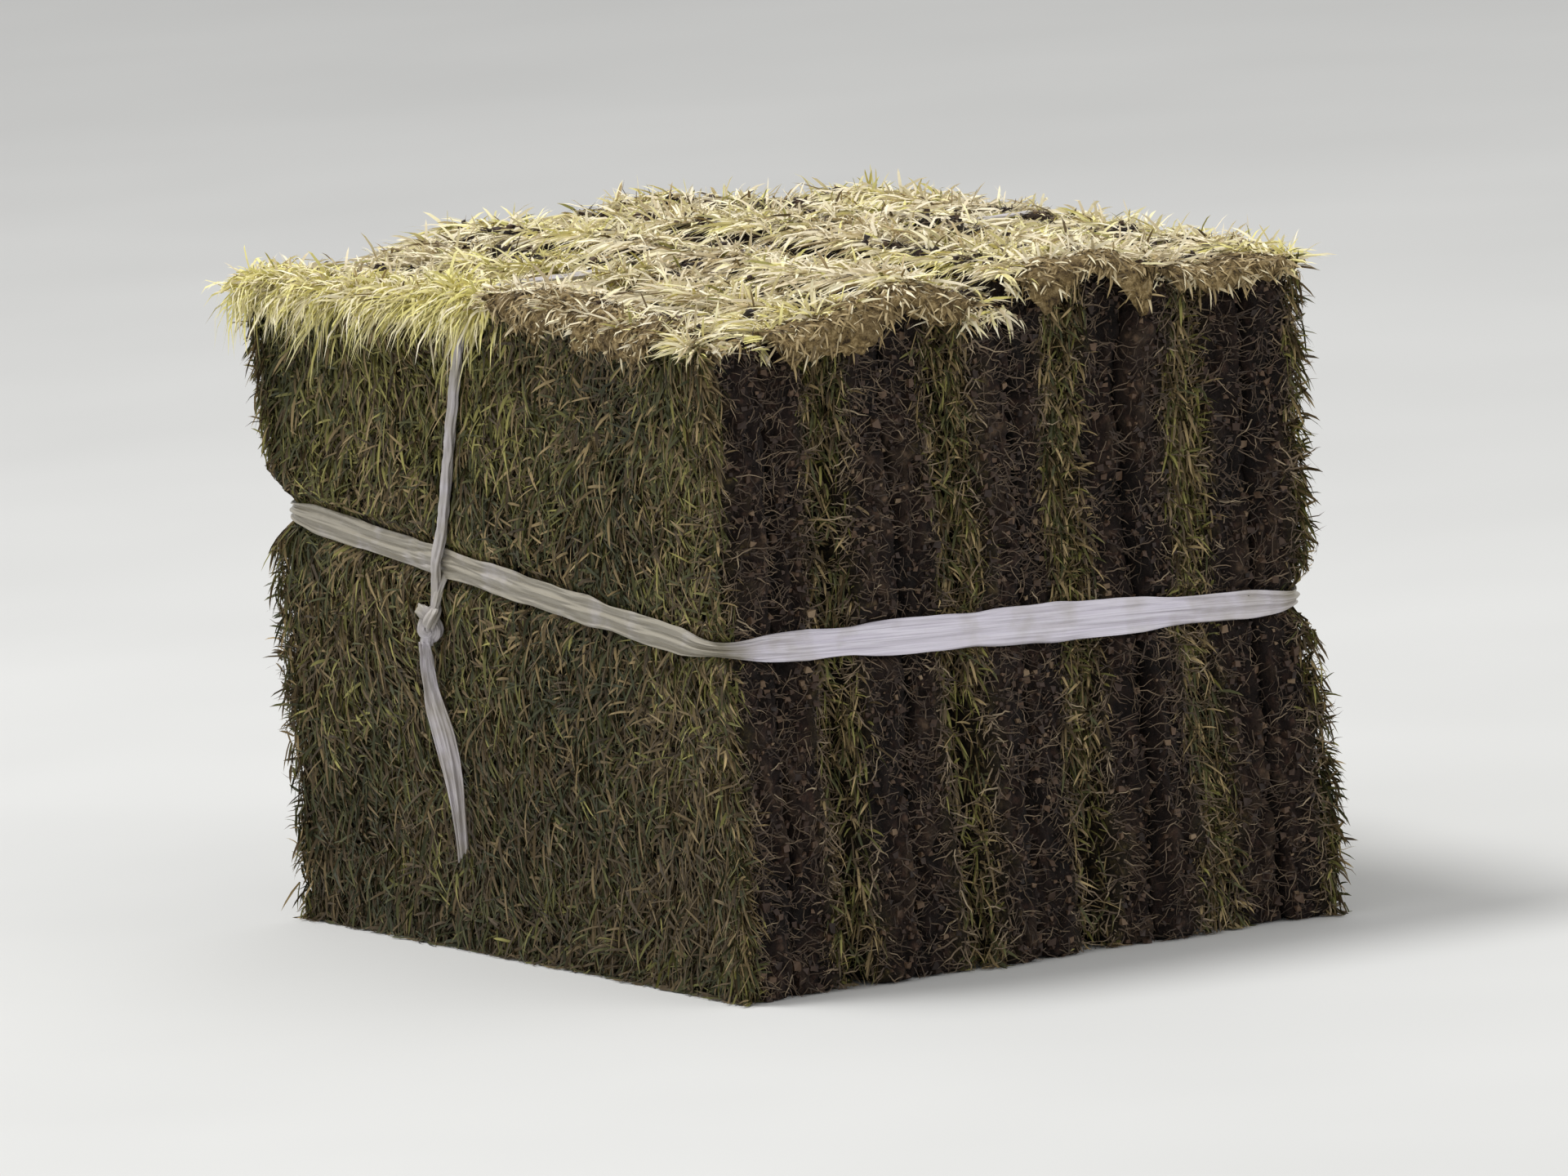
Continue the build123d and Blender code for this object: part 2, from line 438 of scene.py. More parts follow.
def rounded_loop(half, low, high, low_radius, high_radius):
    """A rectangle with round corners and its outward directions. It starts at the lower right
    corner and comes round to it again: four quarter turns, whose ends the sides join."""
    low_level, high_level = low + low_radius, high - high_radius
    spots = (
        (half - low_radius, low_level, low_radius),
        (half - high_radius, high_level, high_radius),
        (high_radius - half, high_level, high_radius),
        (low_radius - half, low_level, low_radius),
    )
    turns = [quarter_turn(spot[:2], spot[2], (k - 1) * np.pi / 2) for k, spot in enumerate(spots)]
    turns.append([values[:1] for values in turns[0]])
    return [np.concatenate([turn[k] for turn in turns]) for k in (0, 1)]


def respaced(line, step, beside, looped=False):
    """The same line with points a step apart, and the values beside it: the line's length is
    summed from end to end and both are read off between its points in proportion."""
    gaps = np.linalg.norm(np.diff(line, axis=0), axis=1)
    run = np.concatenate(((0.0,), np.cumsum(gaps)))
    places = np.linspace(0, run[-1], round(run[-1] / step) + 1)
    places = places[:-1] if looped else places
    read = [np.stack([np.interp(places, run, k) for k in values.T], -1) for values in (line, beside)]
    return places, *read


print("a loop is put together from", 4 * len(quarter_turn((0, 0), 5, 0)[0]) + 1, "points")

# %% [markdown]
# ## Colours and nodes
#
# Colours are written as they look on a screen and turned to linear light by one function. One
# more function adds a node with its settings and links, and every material below uses it.

# %% Define colours and nodes
def linear(code):
    """A screen colour such as c8b070 as linear light: each channel, from 0 to 1, is divided by
    12.92 if it is dark, and otherwise raised to the power 2.4 after a small shift."""
    channels = np.array([int(code[k : k + 2], 16) for k in (0, 2, 4)]) / 255
    light = np.where(channels <= 0.04045, channels / 12.92, ((channels + 0.055) / 1.055) ** 2.4)
    return (*light.tolist(), 1.0)


def add_node(tree, kind, inputs=(), stops=(), out=0, **settings):
    """Adds a node and gives back one of its outputs, the first unless another is named. An
    input given as a socket is linked and any other is a value. Stops are the places and colours
    of a ramp."""
    made = tree.nodes.new(kind)
    for key, value in settings.items():
        setattr(made, key, value)
    for key, value in dict(inputs).items():
        if isinstance(value, bpy.types.NodeSocket):
            tree.links.new(value, made.inputs[key])
        else:
            made.inputs[key].default_value = value
    for number, (place, colour) in enumerate(stops):
        while len(made.color_ramp.elements) <= number:
            made.color_ramp.elements.new(1.0)
        made.color_ramp.elements[number].position = place
        made.color_ramp.elements[number].color = linear(colour)
    return made.outputs[out] if made.outputs else made


def new_tree(name):
    """An empty node material and its tree."""
    material = bpy.data.materials.new(name)
    material.use_nodes = True
    material.node_tree.nodes.clear()
    return material, material.node_tree


def finish_material(tree, surface, height=None, strength=0.5, depth=1.0):
    """Adds the shader with its inputs and the output. A height makes a bump whose depth is
    given in millimetres."""
    if height is not None:
        relief = {"Strength": strength, "Distance": depth * MM, "Height": height}
        surface["Normal"] = add_node(tree, "ShaderNodeBump", relief)
    shader = add_node(tree, "ShaderNodeBsdfPrincipled", surface)
    add_node(tree, "ShaderNodeOutputMaterial", {"Surface": shader})


# A Mix node that mixes colours takes its share at input 0 and its colours at 6 and 7.
COLOURS = {"data_type": "RGBA", "out": 2}
print("straw in linear light is", [round(part, 3) for part in linear("c8b070")])

# %% [markdown]
# ## The tape's film
#
# The tape is thin white polyethylene film, drawn and slit. It is soft and slippery to the eye:
# nearly white with a faint cool cast, half glossy, streaked along its length where it was drawn
# out, and dusty where it has rubbed on the turf. On the belt's grass faces this greying is also
# painted shade. A picture of film would have to be laid round every turn. Each point of the film
# knows how far along and across it lies, so noise that reads those two measures follows the
# turns by itself.

# %% Make the film
STREAK_WIDTH_MM = 0.5
STREAK_LENGTH_MM = 60
SMEAR_MM = 15
film, tree = new_tree("white_polyethylene_film")
across = add_node(tree, "ShaderNodeAttribute", out="Fac", attribute_name="across")
along = add_node(tree, "ShaderNodeAttribute", out="Fac", attribute_name="along")
dust_and_shade_mark = add_node(tree, "ShaderNodeAttribute", out="Fac", attribute_name="dust")
streak_at = add_node(tree, "ShaderNodeCombineXYZ", {"X": across, "Y": along})
stretch = {0: streak_at, 1: (1 / STREAK_WIDTH_MM, 1 / STREAK_LENGTH_MM, 1.0)}
streak_at = add_node(tree, "ShaderNodeVectorMath", stretch, operation="MULTIPLY")
streak = add_node(tree, "ShaderNodeTexNoise", {"Vector": streak_at, "Scale": 1.0, "Detail": 3.0})
DRAWN_WHITE = ((0.25, "b3adb8"), (0.5, "d3ced9"), (0.8, "e2dfe8"))
white = add_node(tree, "ShaderNodeValToRGB", {"Fac": streak}, stops=DRAWN_WHITE)
place = add_node(tree, "ShaderNodeTexCoord", out="Object")
# Dust lies in smears, most of them where the film has rubbed on the turf. On the belt's grass
# faces the greying is partly painted shade.
dust_and_shade_smear = {"Vector": place, "Scale": 1000 / SMEAR_MM, "Detail": 5.0}
dust_and_shade_smear = add_node(tree, "ShaderNodeTexNoise", dust_and_shade_smear)
dust_and_shade_smear = add_node(tree, "ShaderNodeMath", {0: dust_and_shade_smear, 1: dust_and_shade_mark}, operation="ADD")
dust_and_shade_smear = {"Value": dust_and_shade_smear, "From Min": 0.62, "From Max": 1.2, "To Max": 0.8}
dust_and_shade_smear = add_node(tree, "ShaderNodeMapRange", dust_and_shade_smear)
dusted_and_shaded = add_node(tree, "ShaderNodeMix", {0: dust_and_shade_smear, 6: white, 7: linear("8f8769")}, **COLOURS)
gloss = add_node(tree, "ShaderNodeMapRange", {"Value": streak, "To Min": 0.3, "To Max": 0.55})
film_surface = {"Base Color": dusted_and_shaded, "Roughness": gloss, "IOR": 1.51}
finish_material(tree, film_surface, streak, strength=0.4, depth=0.5)
print("film:", film.name)

# %% [markdown]
# ## A strip of film
#
# A strip is a line with a width. At each point of the line there is a direction out of the
# object and one across the strip. Film that is pulled tight gathers into folds along its
# length, so the strip's section is a wave whose height grows where the film is narrow. Cloth
# could be simulated for it, but a wave keeps the film exactly on its line.


# %% Find the directions of a strip
def frame_of(line, outward, looped):
    """The directions across and out of a line: across is square to the line and to the outward
    direction, and out is square to both of the others."""
    if looped:
        forward = unit(np.roll(line, -1, axis=0) - np.roll(line, 1, axis=0))
    else:
        forward = unit(np.gradient(line, axis=0))
    sideways = unit(np.cross(forward, outward))
    return sideways, np.cross(sideways, forward)


to_the_back = np.array(((0.0, 0, 0), (0, 1, 0)))
sideways = frame_of(to_the_back, np.array((0, 0, 1.0)), False)[0][0]
print("across a line that runs to the back and faces up is", sideways)


# %% Define a strip
# Real film is a tenth as thick. It is drawn thicker so that its edge shows.
FILM_THICKNESS = 0.35
STRIP_POINTS = 29


def strip(line, outward, run, half_width, folds, seed, dust, looped=False, lift=0.3, slant=0.0):
    """A strip of film with both faces and its edges. Its section is flat across the half width
    and rises outwards by a wave: three cosines of the place across, whose phases drift with a
    random field along the strip. The folds are the wave's height in millimetres. The slant
    pulls one corner of the last end out and the other in."""
    sideways, out = frame_of(line, outward, looped)
    place = np.linspace(-1, 1, STRIP_POINTS)
    phase = [2.8 * layered(line, 46, seed=seed + 10 * k, layers=2)[:, None] for k in range(3)]
    wave = np.cos(2.2 * np.pi * place + phase[0]) + 0.6 * np.cos(4.7 * np.pi * place + 1.7 * phase[1])
    wave = wave + 0.4 * np.cos(8.3 * np.pi * place + 2.4 * phase[2]) + 1.1 * (1 - place**2)
    uneven = 1 + 0.12 * layered(line, 19, seed=seed + 3, layers=2)[:, None]
    edge = half_width[:, None] * place * uneven
    centre = line[:, None] + sideways[:, None] * edge[..., None]
    last = np.clip(1 - (run[-1] - run) / 12, 0, 1)[:, None] ** 2
    ragged = slant * (place + 0.25 * np.sin(9 * place)) * last
    centre = centre + np.cross(out, sideways)[:, None] * ragged[..., None]
    front = centre + out[:, None] * (folds[:, None] * wave + lift)[..., None]
    back = front - out[:, None] * FILM_THICKNESS
    ring = np.concatenate((front, back[:, ::-1]), axis=1)
    across_run = np.concatenate((edge, edge[:, ::-1]), axis=1)
    return ring, across_run, run, dust, looped


print("a strip has", 2 * STRIP_POINTS, "points round it")

# %% Define a strand
STRAND_POINTS = 32


def strand(line, outward, run, wide, thick, seed, dust, looped=False):
    """Film gathered to a cord: rings round a line whose section is an oval with creases, which
    are cosines of the angle whose phases drift along the strand."""
    sideways, out = frame_of(line, outward, looped)
    angle = np.linspace(0, -2 * np.pi, STRAND_POINTS + 1)[None, :-1]
    crease = 1 + 0.17 * np.cos(5 * angle + 3.2 * field(line, 9, seed=seed)[:, None])
    crease = crease + 0.11 * np.cos(9 * angle + 4 * field(line, 6, seed=seed + 1)[:, None])
    wide, thick = np.broadcast_to(wide, len(line)), np.broadcast_to(thick, len(line))
    ring = line[:, None] + sideways[:, None] * (wide[:, None] * crease * np.cos(angle))[..., None]
    ring = ring + out[:, None] * (thick[:, None] * crease * np.sin(angle))[..., None]
    across_run = wide[:, None] * -angle
    return ring, across_run, run, dust, looped


print("a strand has", STRAND_POINTS, "points round it")


# %% Make one piece of film
def film_piece(name, parts):
    """One object from several strips and strands. The open ends of each are closed by faces
    that join the first half of its last ring to the second half."""
    points, corners, maps, marks, count = [], [], [], [], 0
    for number, (ring, across_run, run, dust, looped) in enumerate(parts):
        rows, around = ring.shape[:2]
        quads, flat_map = grid_faces(rows, around, looped)
        if not looped:
            k = np.arange(around // 2 - 1)
            first = np.stack((k + 1, k, around - 1 - k, around - 2 - k), -1)
            quads = np.concatenate((quads, first, (rows - 1) * around + first[:, ::-1]))
            small = ((0.0, 0.0), (0.01, 0.0), (0.01, 0.01), (0.0, 0.01))
            flat_map = np.concatenate((flat_map, np.tile(small, (2 * len(k), 1, 1))))
        points.append(ring.reshape(-1, 3))
        corners.append(quads.ravel() + count)
        maps.append((flat_map * (1, 0.98 / len(parts)) + (0, number / len(parts))).reshape(-1, 2))
        values = (across_run, run[:, None], np.broadcast_to(dust, rows)[:, None])
        marks.append(np.stack([np.broadcast_to(v, (rows, around)).ravel() for v in values]))
        count += rows * around
    marks = dict(zip(("across", "along", "dust"), np.concatenate(marks, axis=1)))
    points, corners, maps = np.concatenate(points), np.concatenate(corners), np.concatenate(maps)
    piece = new_piece(name, points, corners, np.full(len(corners) // 4, 4), maps, film, True, **marks)
    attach(piece, "root")
    print(name, "has", len(piece.data.polygons), "faces")
    return piece


print("every film piece is made of", film.name)

# %% [markdown]
# ## The loose end
#
# The end of the second tape hangs from the left knot, limp and twisted a little, in front of
# the grass. It could be dropped in a simulation, but its place is known, so its middle line is
# a smooth curve along a few points, and the film follows it.

# %% Draw its middle line
TAIL_ROUTE = (
    (-0.1409, 0.0507, 0.1254),
    (-0.1409, 0.0507, 0.1074),
    (-0.1409, 0.0387, 0.0844),
    (-0.1409, 0.0327, 0.0594),
    (-0.1409, 0.0322, 0.0404),
)


def spline_points(name, route):
    """Points of the smooth curve that has the route as its control points, in metres."""
    data = bpy.data.curves.new(name, "CURVE")
    data.dimensions = "3D"
    data.resolution_u = 24
    spline = data.splines.new("NURBS")
    spline.points.add(len(route) - 1)
    for point, place in zip(spline.points, route):
        point.co = (*place, 1.0)
    spline.order_u = 3
    spline.use_endpoint_u = True
    holder = bpy.data.objects.new(name, data)
    mesh = bpy.data.meshes.new_from_object(holder)
    places = np.empty(len(mesh.vertices) * 3, np.float32)
    mesh.vertices.foreach_get("co", places)
    bpy.data.objects.remove(holder)
    bpy.data.meshes.remove(mesh)
    return places.reshape(-1, 3).astype(float)


tail_path = spline_points("tail_line", TAIL_ROUTE)
print("the curve of the loose end has", len(tail_path), "points")

# %% Hang the loose end
TAIL_STEP = 1.2
TAIL_DUST = 0.45
tail_run, tail_line = respaced(tail_path / MM, TAIL_STEP, tail_path)[:2]
tail_share = tail_run / tail_run[-1]
# The film turns from flat on the grass towards the front as it goes down.
tail_turn = np.radians(20 + 34 * np.sin(2.4 * tail_share))
tail_out = np.stack((-np.cos(tail_turn), -np.sin(tail_turn), 0 * tail_turn), -1)
# It is gathered at the knot, widest below it, and narrow again at its torn end.
tail_half = 2.3 + 2.2 * hill(tail_share, 0.4, 0.34)
tail_folds = 0.9 - 0.5 * tail_share
tail_strip = strip(
    tail_line, tail_out, tail_run, tail_half, tail_folds, seed=40, dust=TAIL_DUST, lift=0.0, slant=2.4
)
tape_end = film_piece("tape_end", [tail_strip])
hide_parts("tape_tail")
print("the loose end is", round(tail_run[-1], 1), "mm long")

# %% [markdown]
# ## Soil
#
# The mats are sandy loam held together by roots. It is dark brown, nearly black where it is
# damp, and quite dull, with crumbs of a few millimetres and pale grains between them. Towards
# the grass it turns to thatch, the brown felt of dead stems. A picture would show seams at the
# corners of a mat. Noise on Object coordinates has none, and its grains have their real size.

# %% Make the patterns of the soil
DAMP_MM = 22
CRUMB_MM = 2.6
GRAIN_MM = 1.5
LUMP_MM = 5
soil, tree = new_tree("damp_sandy_loam")
place = add_node(tree, "ShaderNodeTexCoord", out="Object")
sward = add_node(tree, "ShaderNodeAttribute", out="Fac", attribute_name="sward")
relief = add_node(tree, "ShaderNodeAttribute", out="Fac", attribute_name="relief")
# Damp patches are two and a half times as tall as they are wide.
upright = add_node(tree, "ShaderNodeVectorMath", {0: place, 1: (1.0, 1.0, 0.4)}, operation="MULTIPLY")
damp_and_shade = {"Vector": upright, "Scale": 1000 / DAMP_MM, "Detail": 6.0, "Roughness": 0.66}
damp_and_shade = add_node(tree, "ShaderNodeTexNoise", damp_and_shade)
# Painted shade: the hollows are darkened and what stands out is lightened, on top of the damp patches.
damp_and_shade = add_node(tree, "ShaderNodeMath", {0: relief, 1: 0.16, 2: damp_and_shade}, operation="MULTIPLY_ADD")
crumbly = add_node(tree, "ShaderNodeTexVoronoi", {"Vector": place, "Scale": 1000 / CRUMB_MM})
grain = {"Vector": place, "Scale": 1000 / GRAIN_MM, "Detail": 4.0, "Roughness": 0.7}
grain = add_node(tree, "ShaderNodeTexNoise", grain)
# Painted shade: the gaps between lumps are darkened as if they were in shadow.
lump = {"Vector": place, "Scale": 1000 / LUMP_MM, "Detail": 1.0}
lump = add_node(tree, "ShaderNodeTexVoronoi", lump)
crevice_shade = {"Value": lump, "From Min": 0.3, "From Max": 0.75, "To Max": 0.75}
crevice_shade = add_node(tree, "ShaderNodeMapRange", crevice_shade)
print("the soil has patterns of", DAMP_MM, LUMP_MM, CRUMB_MM, "and", GRAIN_MM, "mm")

# %% Colour the soil
EARTH = ((0.32, "17100d"), (0.44, "2c1d17"), (0.54, "46332a"), (0.72, "6b5745"))
earth = add_node(tree, "ShaderNodeValToRGB", {"Fac": damp_and_shade}, stops=EARTH)
pale = {"Value": grain, "From Min": 0.58, "From Max": 0.76, "To Max": 0.6}
pale = add_node(tree, "ShaderNodeMapRange", pale)
grainy = add_node(tree, "ShaderNodeMix", {0: pale, 6: earth, 7: linear("8c7c63")}, **COLOURS)
FELT = ((0.3, "231d11"), (0.55, "4a3f26"), (0.75, "776843"))
felt = add_node(tree, "ShaderNodeValToRGB", {"Fac": grain}, stops=FELT)
edge = add_node(tree, "ShaderNodeMath", {0: sward, 1: damp_and_shade}, operation="ADD")
turned = add_node(tree, "ShaderNodeMapRange", {"Value": edge, "From Min": 1.12, "From Max": 1.36})
ground = add_node(tree, "ShaderNodeMix", {0: turned, 6: grainy, 7: felt}, **COLOURS)
ground = add_node(tree, "ShaderNodeMix", {0: crevice_shade, 6: ground, 7: linear("120c0a")}, **COLOURS)
height = add_node(tree, "ShaderNodeMath", {0: grain, 1: crumbly}, operation="SUBTRACT")
soil_surface = {"Base Color": ground, "Roughness": 0.93, "Specular IOR Level": 0.25}
finish_material(tree, soil_surface, height, strength=1.0, depth=2.2)
print("soil:", soil.name)

# %% [markdown]
# ## The mats
#
# A mat is a closed skin. It could be a box that modifiers make rough, but then as many points
# would lie inside the stack as on its rim. Here rings run round its outline, and the skin goes
# from the middle of the soil side, over the cut rim, to the middle of the grass side. The rim
# is what shows, so most rows of the grid are there. A cut edge is straight on the whole and
# crumbly close up, so random fields of several sizes move it in and out, and its two corners
# are worn round.

# %% Draw the outline of a mat
RIM_STEP = 1.6
FOOT_RADIUS = 5
TOP_RADIUS = 13
rim_corners, rim_rays = rounded_loop(HALF_LENGTH, 0, MAT_HEIGHT, FOOT_RADIUS, TOP_RADIUS)
RIM_LOOP, RIM_RAYS = respaced(rim_corners, RIM_STEP, rim_rays, looped=True)[1:]
print("a mat's outline has", len(RIM_LOOP), "points")

# %% Define one mat
# The rows of the rim as shares of a mat's thickness, and those of each side as shares of the
# way from its middle to the rim.
RIM = np.linspace(0, 1, 19)
SIDE_SHARES = np.array((0.3, 0.7, 0.93))
# How far the worn edges of the rim are drawn in, in millimetres.
SOIL_EDGE = 6.5
GRASS_EDGE = 5.5


def mat_skin(mat):
    """The grid of a mat's skin before and after it has slumped, and for each point how near it
    is to the grass and how far it stands out. Rows go across the mat, columns round the
    outline. At both ends of the rim the ring is drawn in by a quarter circle."""
    side = len(SIDE_SHARES)
    rim_inset = SOIL_EDGE * (1 - np.sqrt(1 - np.clip(1 - RIM / 0.26, 0, 1) ** 2))
    rim_inset += GRASS_EDGE * (1 - np.sqrt(1 - np.clip((RIM - 0.76) / 0.24, 0, 1) ** 2))
    share = np.concatenate((np.zeros(side), RIM, np.ones(side)))[:, None]
    scale = np.concatenate((SIDE_SHARES, np.ones(len(RIM)), SIDE_SHARES[::-1]))[:, None, None]
    inset = np.concatenate((np.full(side, SOIL_EDGE), rim_inset, np.full(side, GRASS_EDGE)))
    centre = np.array((0, MAT_HEIGHT / 2))
    ring = centre + (RIM_LOOP - RIM_RAYS * inset[:, None, None] - centre) * scale
    y, z = ring[..., 0], np.maximum(ring[..., 1], 0.4)
    z = z * mat_top(mat, y) / MAT_HEIGHT
    border_place = np.stack((0 * y + mat * 90.0, y, z), -1)
    border = SOIL_SHARE + 0.08 * layered(border_place, 30, seed=250, layers=3)
    if 0 < mat < MAT_COUNT - 1:
        # Two swards are pressed together inside the bundle, and there the skin reaches the seam.
        border[-side:] = 0.985
    points = on_mat(mat, share * border, y, z)
    on_rim = np.clip((scale[..., 0] - 0.9) / 0.1, 0, 1)
    # Clods are 10 to 15 mm across and twice as tall, because the blade came down through them.
    own_place = (points + np.array((0, mat * 400.0, 0))) * (1, 1, 0.6)
    clods = 2.0 * lumpy(own_place, 12, seed=35, layers=2)
    clods = clods + 1.9 * lumpy(own_place * (1, 1, 1.4), 6.0, seed=45, layers=2)
    rough = 2.2 * layered(own_place, 26, seed=5, layers=2) + clods
    points[..., 1] += RIM_RAYS[:, 0] * rough * on_rim
    points[..., 2] += np.where(z > 8, RIM_RAYS[:, 1] * rough * on_rim, 0)
    points[..., 0] += 1.1 * layered(own_place, 8, seed=60, layers=2) * on_rim
    # Here and there the foot of the cut is broken away.
    broken = np.maximum(layered(own_place, 34, seed=66, layers=2) - 0.15, 0) * np.clip(1 - z / 16, 0, 1)
    points[..., 2] += 7 * broken * np.abs(RIM_RAYS[:, 0]) * on_rim
    settled_points = press(slump(points), *SOIL_GIVE)
    settled_points[..., 2] = np.maximum(settled_points[..., 2], 0.3)
    relief = np.clip(clods / 2.5 - 0.2, -1, 1) * on_rim
    return points, settled_points, np.broadcast_to(share, y.shape), relief


print("a mat has", len(RIM), "rings on its rim and", len(SIDE_SHARES), "on each side")


# %% Close a skin
def skin_piece(name, grid, sward, relief, material):
    """A closed object from a grid of rings, with a point in the middle of each end."""
    rows, around = grid.shape[:2]
    quads, flat_map = grid_faces(rows, around, False)
    flat_map[..., 1] = 0.03 + 0.94 * flat_map[..., 1]
    k = np.arange(around)
    after = (k + 1) % around
    pole, last = rows * around, (rows - 1) * around
    first_fan = np.stack((after, k, 0 * k + pole), -1)
    last_fan = np.stack((last + k, last + after, 0 * k + pole + 1), -1)
    fans = np.concatenate((first_fan, last_fan))
    fan_u = np.concatenate((np.stack((k + 1, k, k + 0.5), -1), np.stack((k, k + 1, k + 0.5), -1)))
    fan_v = np.repeat(((0.03, 0.03, 0.0), (0.97, 0.97, 1.0)), around, axis=0)
    fan_map = np.stack((fan_u / around, fan_v), -1)
    return new_piece(
        name,
        np.concatenate((grid.reshape(-1, 3), grid[:1].mean(axis=1), grid[-1:].mean(axis=1))),
        np.concatenate((quads.ravel(), fans.ravel())),
        np.concatenate((np.full(len(quads), 4), np.full(len(fans), 3))),
        np.concatenate((flat_map.reshape(-1, 2), fan_map.reshape(-1, 2))),
        material,
        True,
        sward=np.append(sward, (0.0, 1.0)),
        relief=np.append(relief, (0.0, 0.0)),
    )


print("each end of a skin is closed by", len(RIM_LOOP), "triangles")

# %% [markdown]
# ## Ten mats in a row
#
# Mats with their grass to the left are mirror images of the others, so their rings run the
# other way round, and all faces point outwards. The skins are also kept as they were before
# they slumped, because roots start from them, and crumbs lie on their soil.

# %% Build the ten mats
bare_skins, crumb_spots = [], []
for mat in range(MAT_COUNT):
    bare, grid, sward_mark, relief_mark = mat_skin(mat)
    bare_skins.append(bare)
    first, last = len(SIDE_SHARES) + 1, len(SIDE_SHARES) + round(0.85 * len(RIM))
    crumb_spots.append(grid[first:last].reshape(-1, 3))
    if grass_side(mat) < 0:
        grid, relief_mark = grid[:, ::-1], relief_mark[:, ::-1]
    piece = skin_piece(f"soil_{mat + 1:02d}", grid, sward_mark, relief_mark, soil)
    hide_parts(f"turf_mat_{mat + 1:02d}")
    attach(piece, "root")
print("a mat's skin has", grid.shape[0], "rings of", grid.shape[1], "points")

# %% [markdown]
# ## Grass
#
# The sward is ryegrass and meadow grass, mown short and pressed flat: soft strap-shaped leaves
# 1 to 2 mm wide, olive green where they still grow, straw yellow where they have dried and
# brown near the root. A leaf is dull with a waxy gleam. One material could be made for each
# colour, but here one ramp holds them all, and each leaf has its own tone on it.


# %% Make leaf, straw and root
def leaf_material(name, stops, low_share, low_colour, tip_colour):
    """A leaf's colour is read off a ramp by its tone. It is darker near its root and dries
    towards its tip."""
    material, tree = new_tree(name)
    tone = add_node(tree, "ShaderNodeAttribute", out="Fac", attribute_name="tone")
    along = add_node(tree, "ShaderNodeAttribute", out="Fac", attribute_name="along")
    colour = add_node(tree, "ShaderNodeValToRGB", {"Fac": tone}, stops=stops)
    dry = {"Value": along, "From Min": 0.65, "From Max": 1.1, "To Max": 0.4}
    dry = add_node(tree, "ShaderNodeMapRange", dry)
    colour = add_node(tree, "ShaderNodeMix", {0: dry, 6: colour, 7: linear(tip_colour)}, **COLOURS)
    low = {"Value": along, "From Max": 0.5, "To Min": low_share, "To Max": 0.0}
    low = add_node(tree, "ShaderNodeMapRange", low)
    colour = add_node(tree, "ShaderNodeMix", {0: low, 6: colour, 7: linear(low_colour)}, **COLOURS)
    finish_material(tree, {"Base Color": colour, "Roughness": 0.6, "Specular IOR Level": 0.3})
    return material


LEAF_STOPS = (
    (0.0, "2c2317"), (0.13, "54452c"), (0.27, "ac966a"), (0.39, "fbf0cd"),
    (0.5, "d6cd7c"), (0.62, "706d35"), (0.78, "474824"), (1.0, "2f331b"),
)
leaf = leaf_material("short_mown_ryegrass", LEAF_STOPS, 0.4, "332a18", "b9a777")
# Straw has the same tones with the pale ones lighter, partly bleached by the sun and partly
# painted sunlight on the top and the tuft.
STRAW_STOPS_WITH_PAINTED_SUN = (
    (0.0, "2c2317"), (0.13, "5c4b30"), (0.27, "bfa97c"), (0.39, "faf1d6"),
    (0.5, "e6dd8a"), (0.62, "7d793b"), (0.78, "474824"), (1.0, "2f331b"),
)
straw = leaf_material("sun_dried_straw_and_painted_sunlight", STRAW_STOPS_WITH_PAINTED_SUN, 0.16, "8a7648", "faf1d0")
ROOT_STOPS = ((0.0, "2b2119"), (0.4, "4f4031"), (0.75, "7d6c56"), (1.0, "a8987c"))
root_fibre = leaf_material("dry_grass_roots", ROOT_STOPS, 0.5, "2b2119", "7d6c56")
print("leaves:", leaf.name, straw.name, root_fibre.name)

# %% [markdown]
# ## Many leaves at once
#
# Blender's hair could grow the grass, but this part has to stay plain mesh. So a leaf is a
# ribbon of a few faces round a middle line, and thousands of middle lines are worked out
# together. Once they lie where they grow, they slump and are pressed like the soil below them.


# %% Make ribbons
def ribbons(line, side, taper, width, tone):
    """Narrow flat ribbons that end in a point. Each row of line holds one middle line, whose
    last place is the point. At the other places the ribbon is its width times the taper wide.
    On the map a ribbon stands upright at its tone, so equal tones share a place."""
    count, places = line.shape[:2]
    way = np.linspace(0, 1, places)
    offset = side[:, None] * (width[:, None, None] / 2 * np.array(taper)[None, :, None])
    points = np.concatenate((line[:, :-1] - offset, line[:, :-1] + offset, line[:, -1:]), axis=1)
    k = np.arange(places - 2)
    quads = np.stack((k, k + places - 1, k + places, k + 1), -1).ravel()
    faces = np.concatenate((quads, (places - 2, 2 * places - 3, 2 * places - 2)))
    corners = (np.arange(count)[:, None] * (2 * places - 1) + faces).ravel()
    sizes = np.tile(np.append(np.full(places - 2, 4), 3), count)
    along = np.tile(np.concatenate((way[:-1], way[:-1], way[-1:])), (count, 1))
    shade = np.clip(tone, 0, 1)[:, None] * np.ones((1, 2 * places - 1))
    side_u = np.concatenate((np.zeros(places - 1), np.ones(places - 1), (0.5,))) * 0.008
    flat = np.stack((0.005 + 0.98 * shade + side_u, 0.01 + 0.98 * along), -1).reshape(-1, 2)
    return [points, corners, sizes, flat[corners], shade, along]


two_runs = np.array((((0.0, 0, 0), (0, 0, 5), (0, 0, 9)),))
two_runs = ribbons(two_runs, np.eye(3)[:1], (1, 1), np.ones(1), np.ones(1))
print("a ribbon with two runs has", len(two_runs[2]), "faces")


# %% Settle the leaves on the bundle
LEAF_WAY = np.array((0.0, 0.4, 0.75, 1.0))[None, :, None]
LEAF_TAPER = (0.75, 1.0, 0.75)
BRIDGE_LIMIT = 0.6


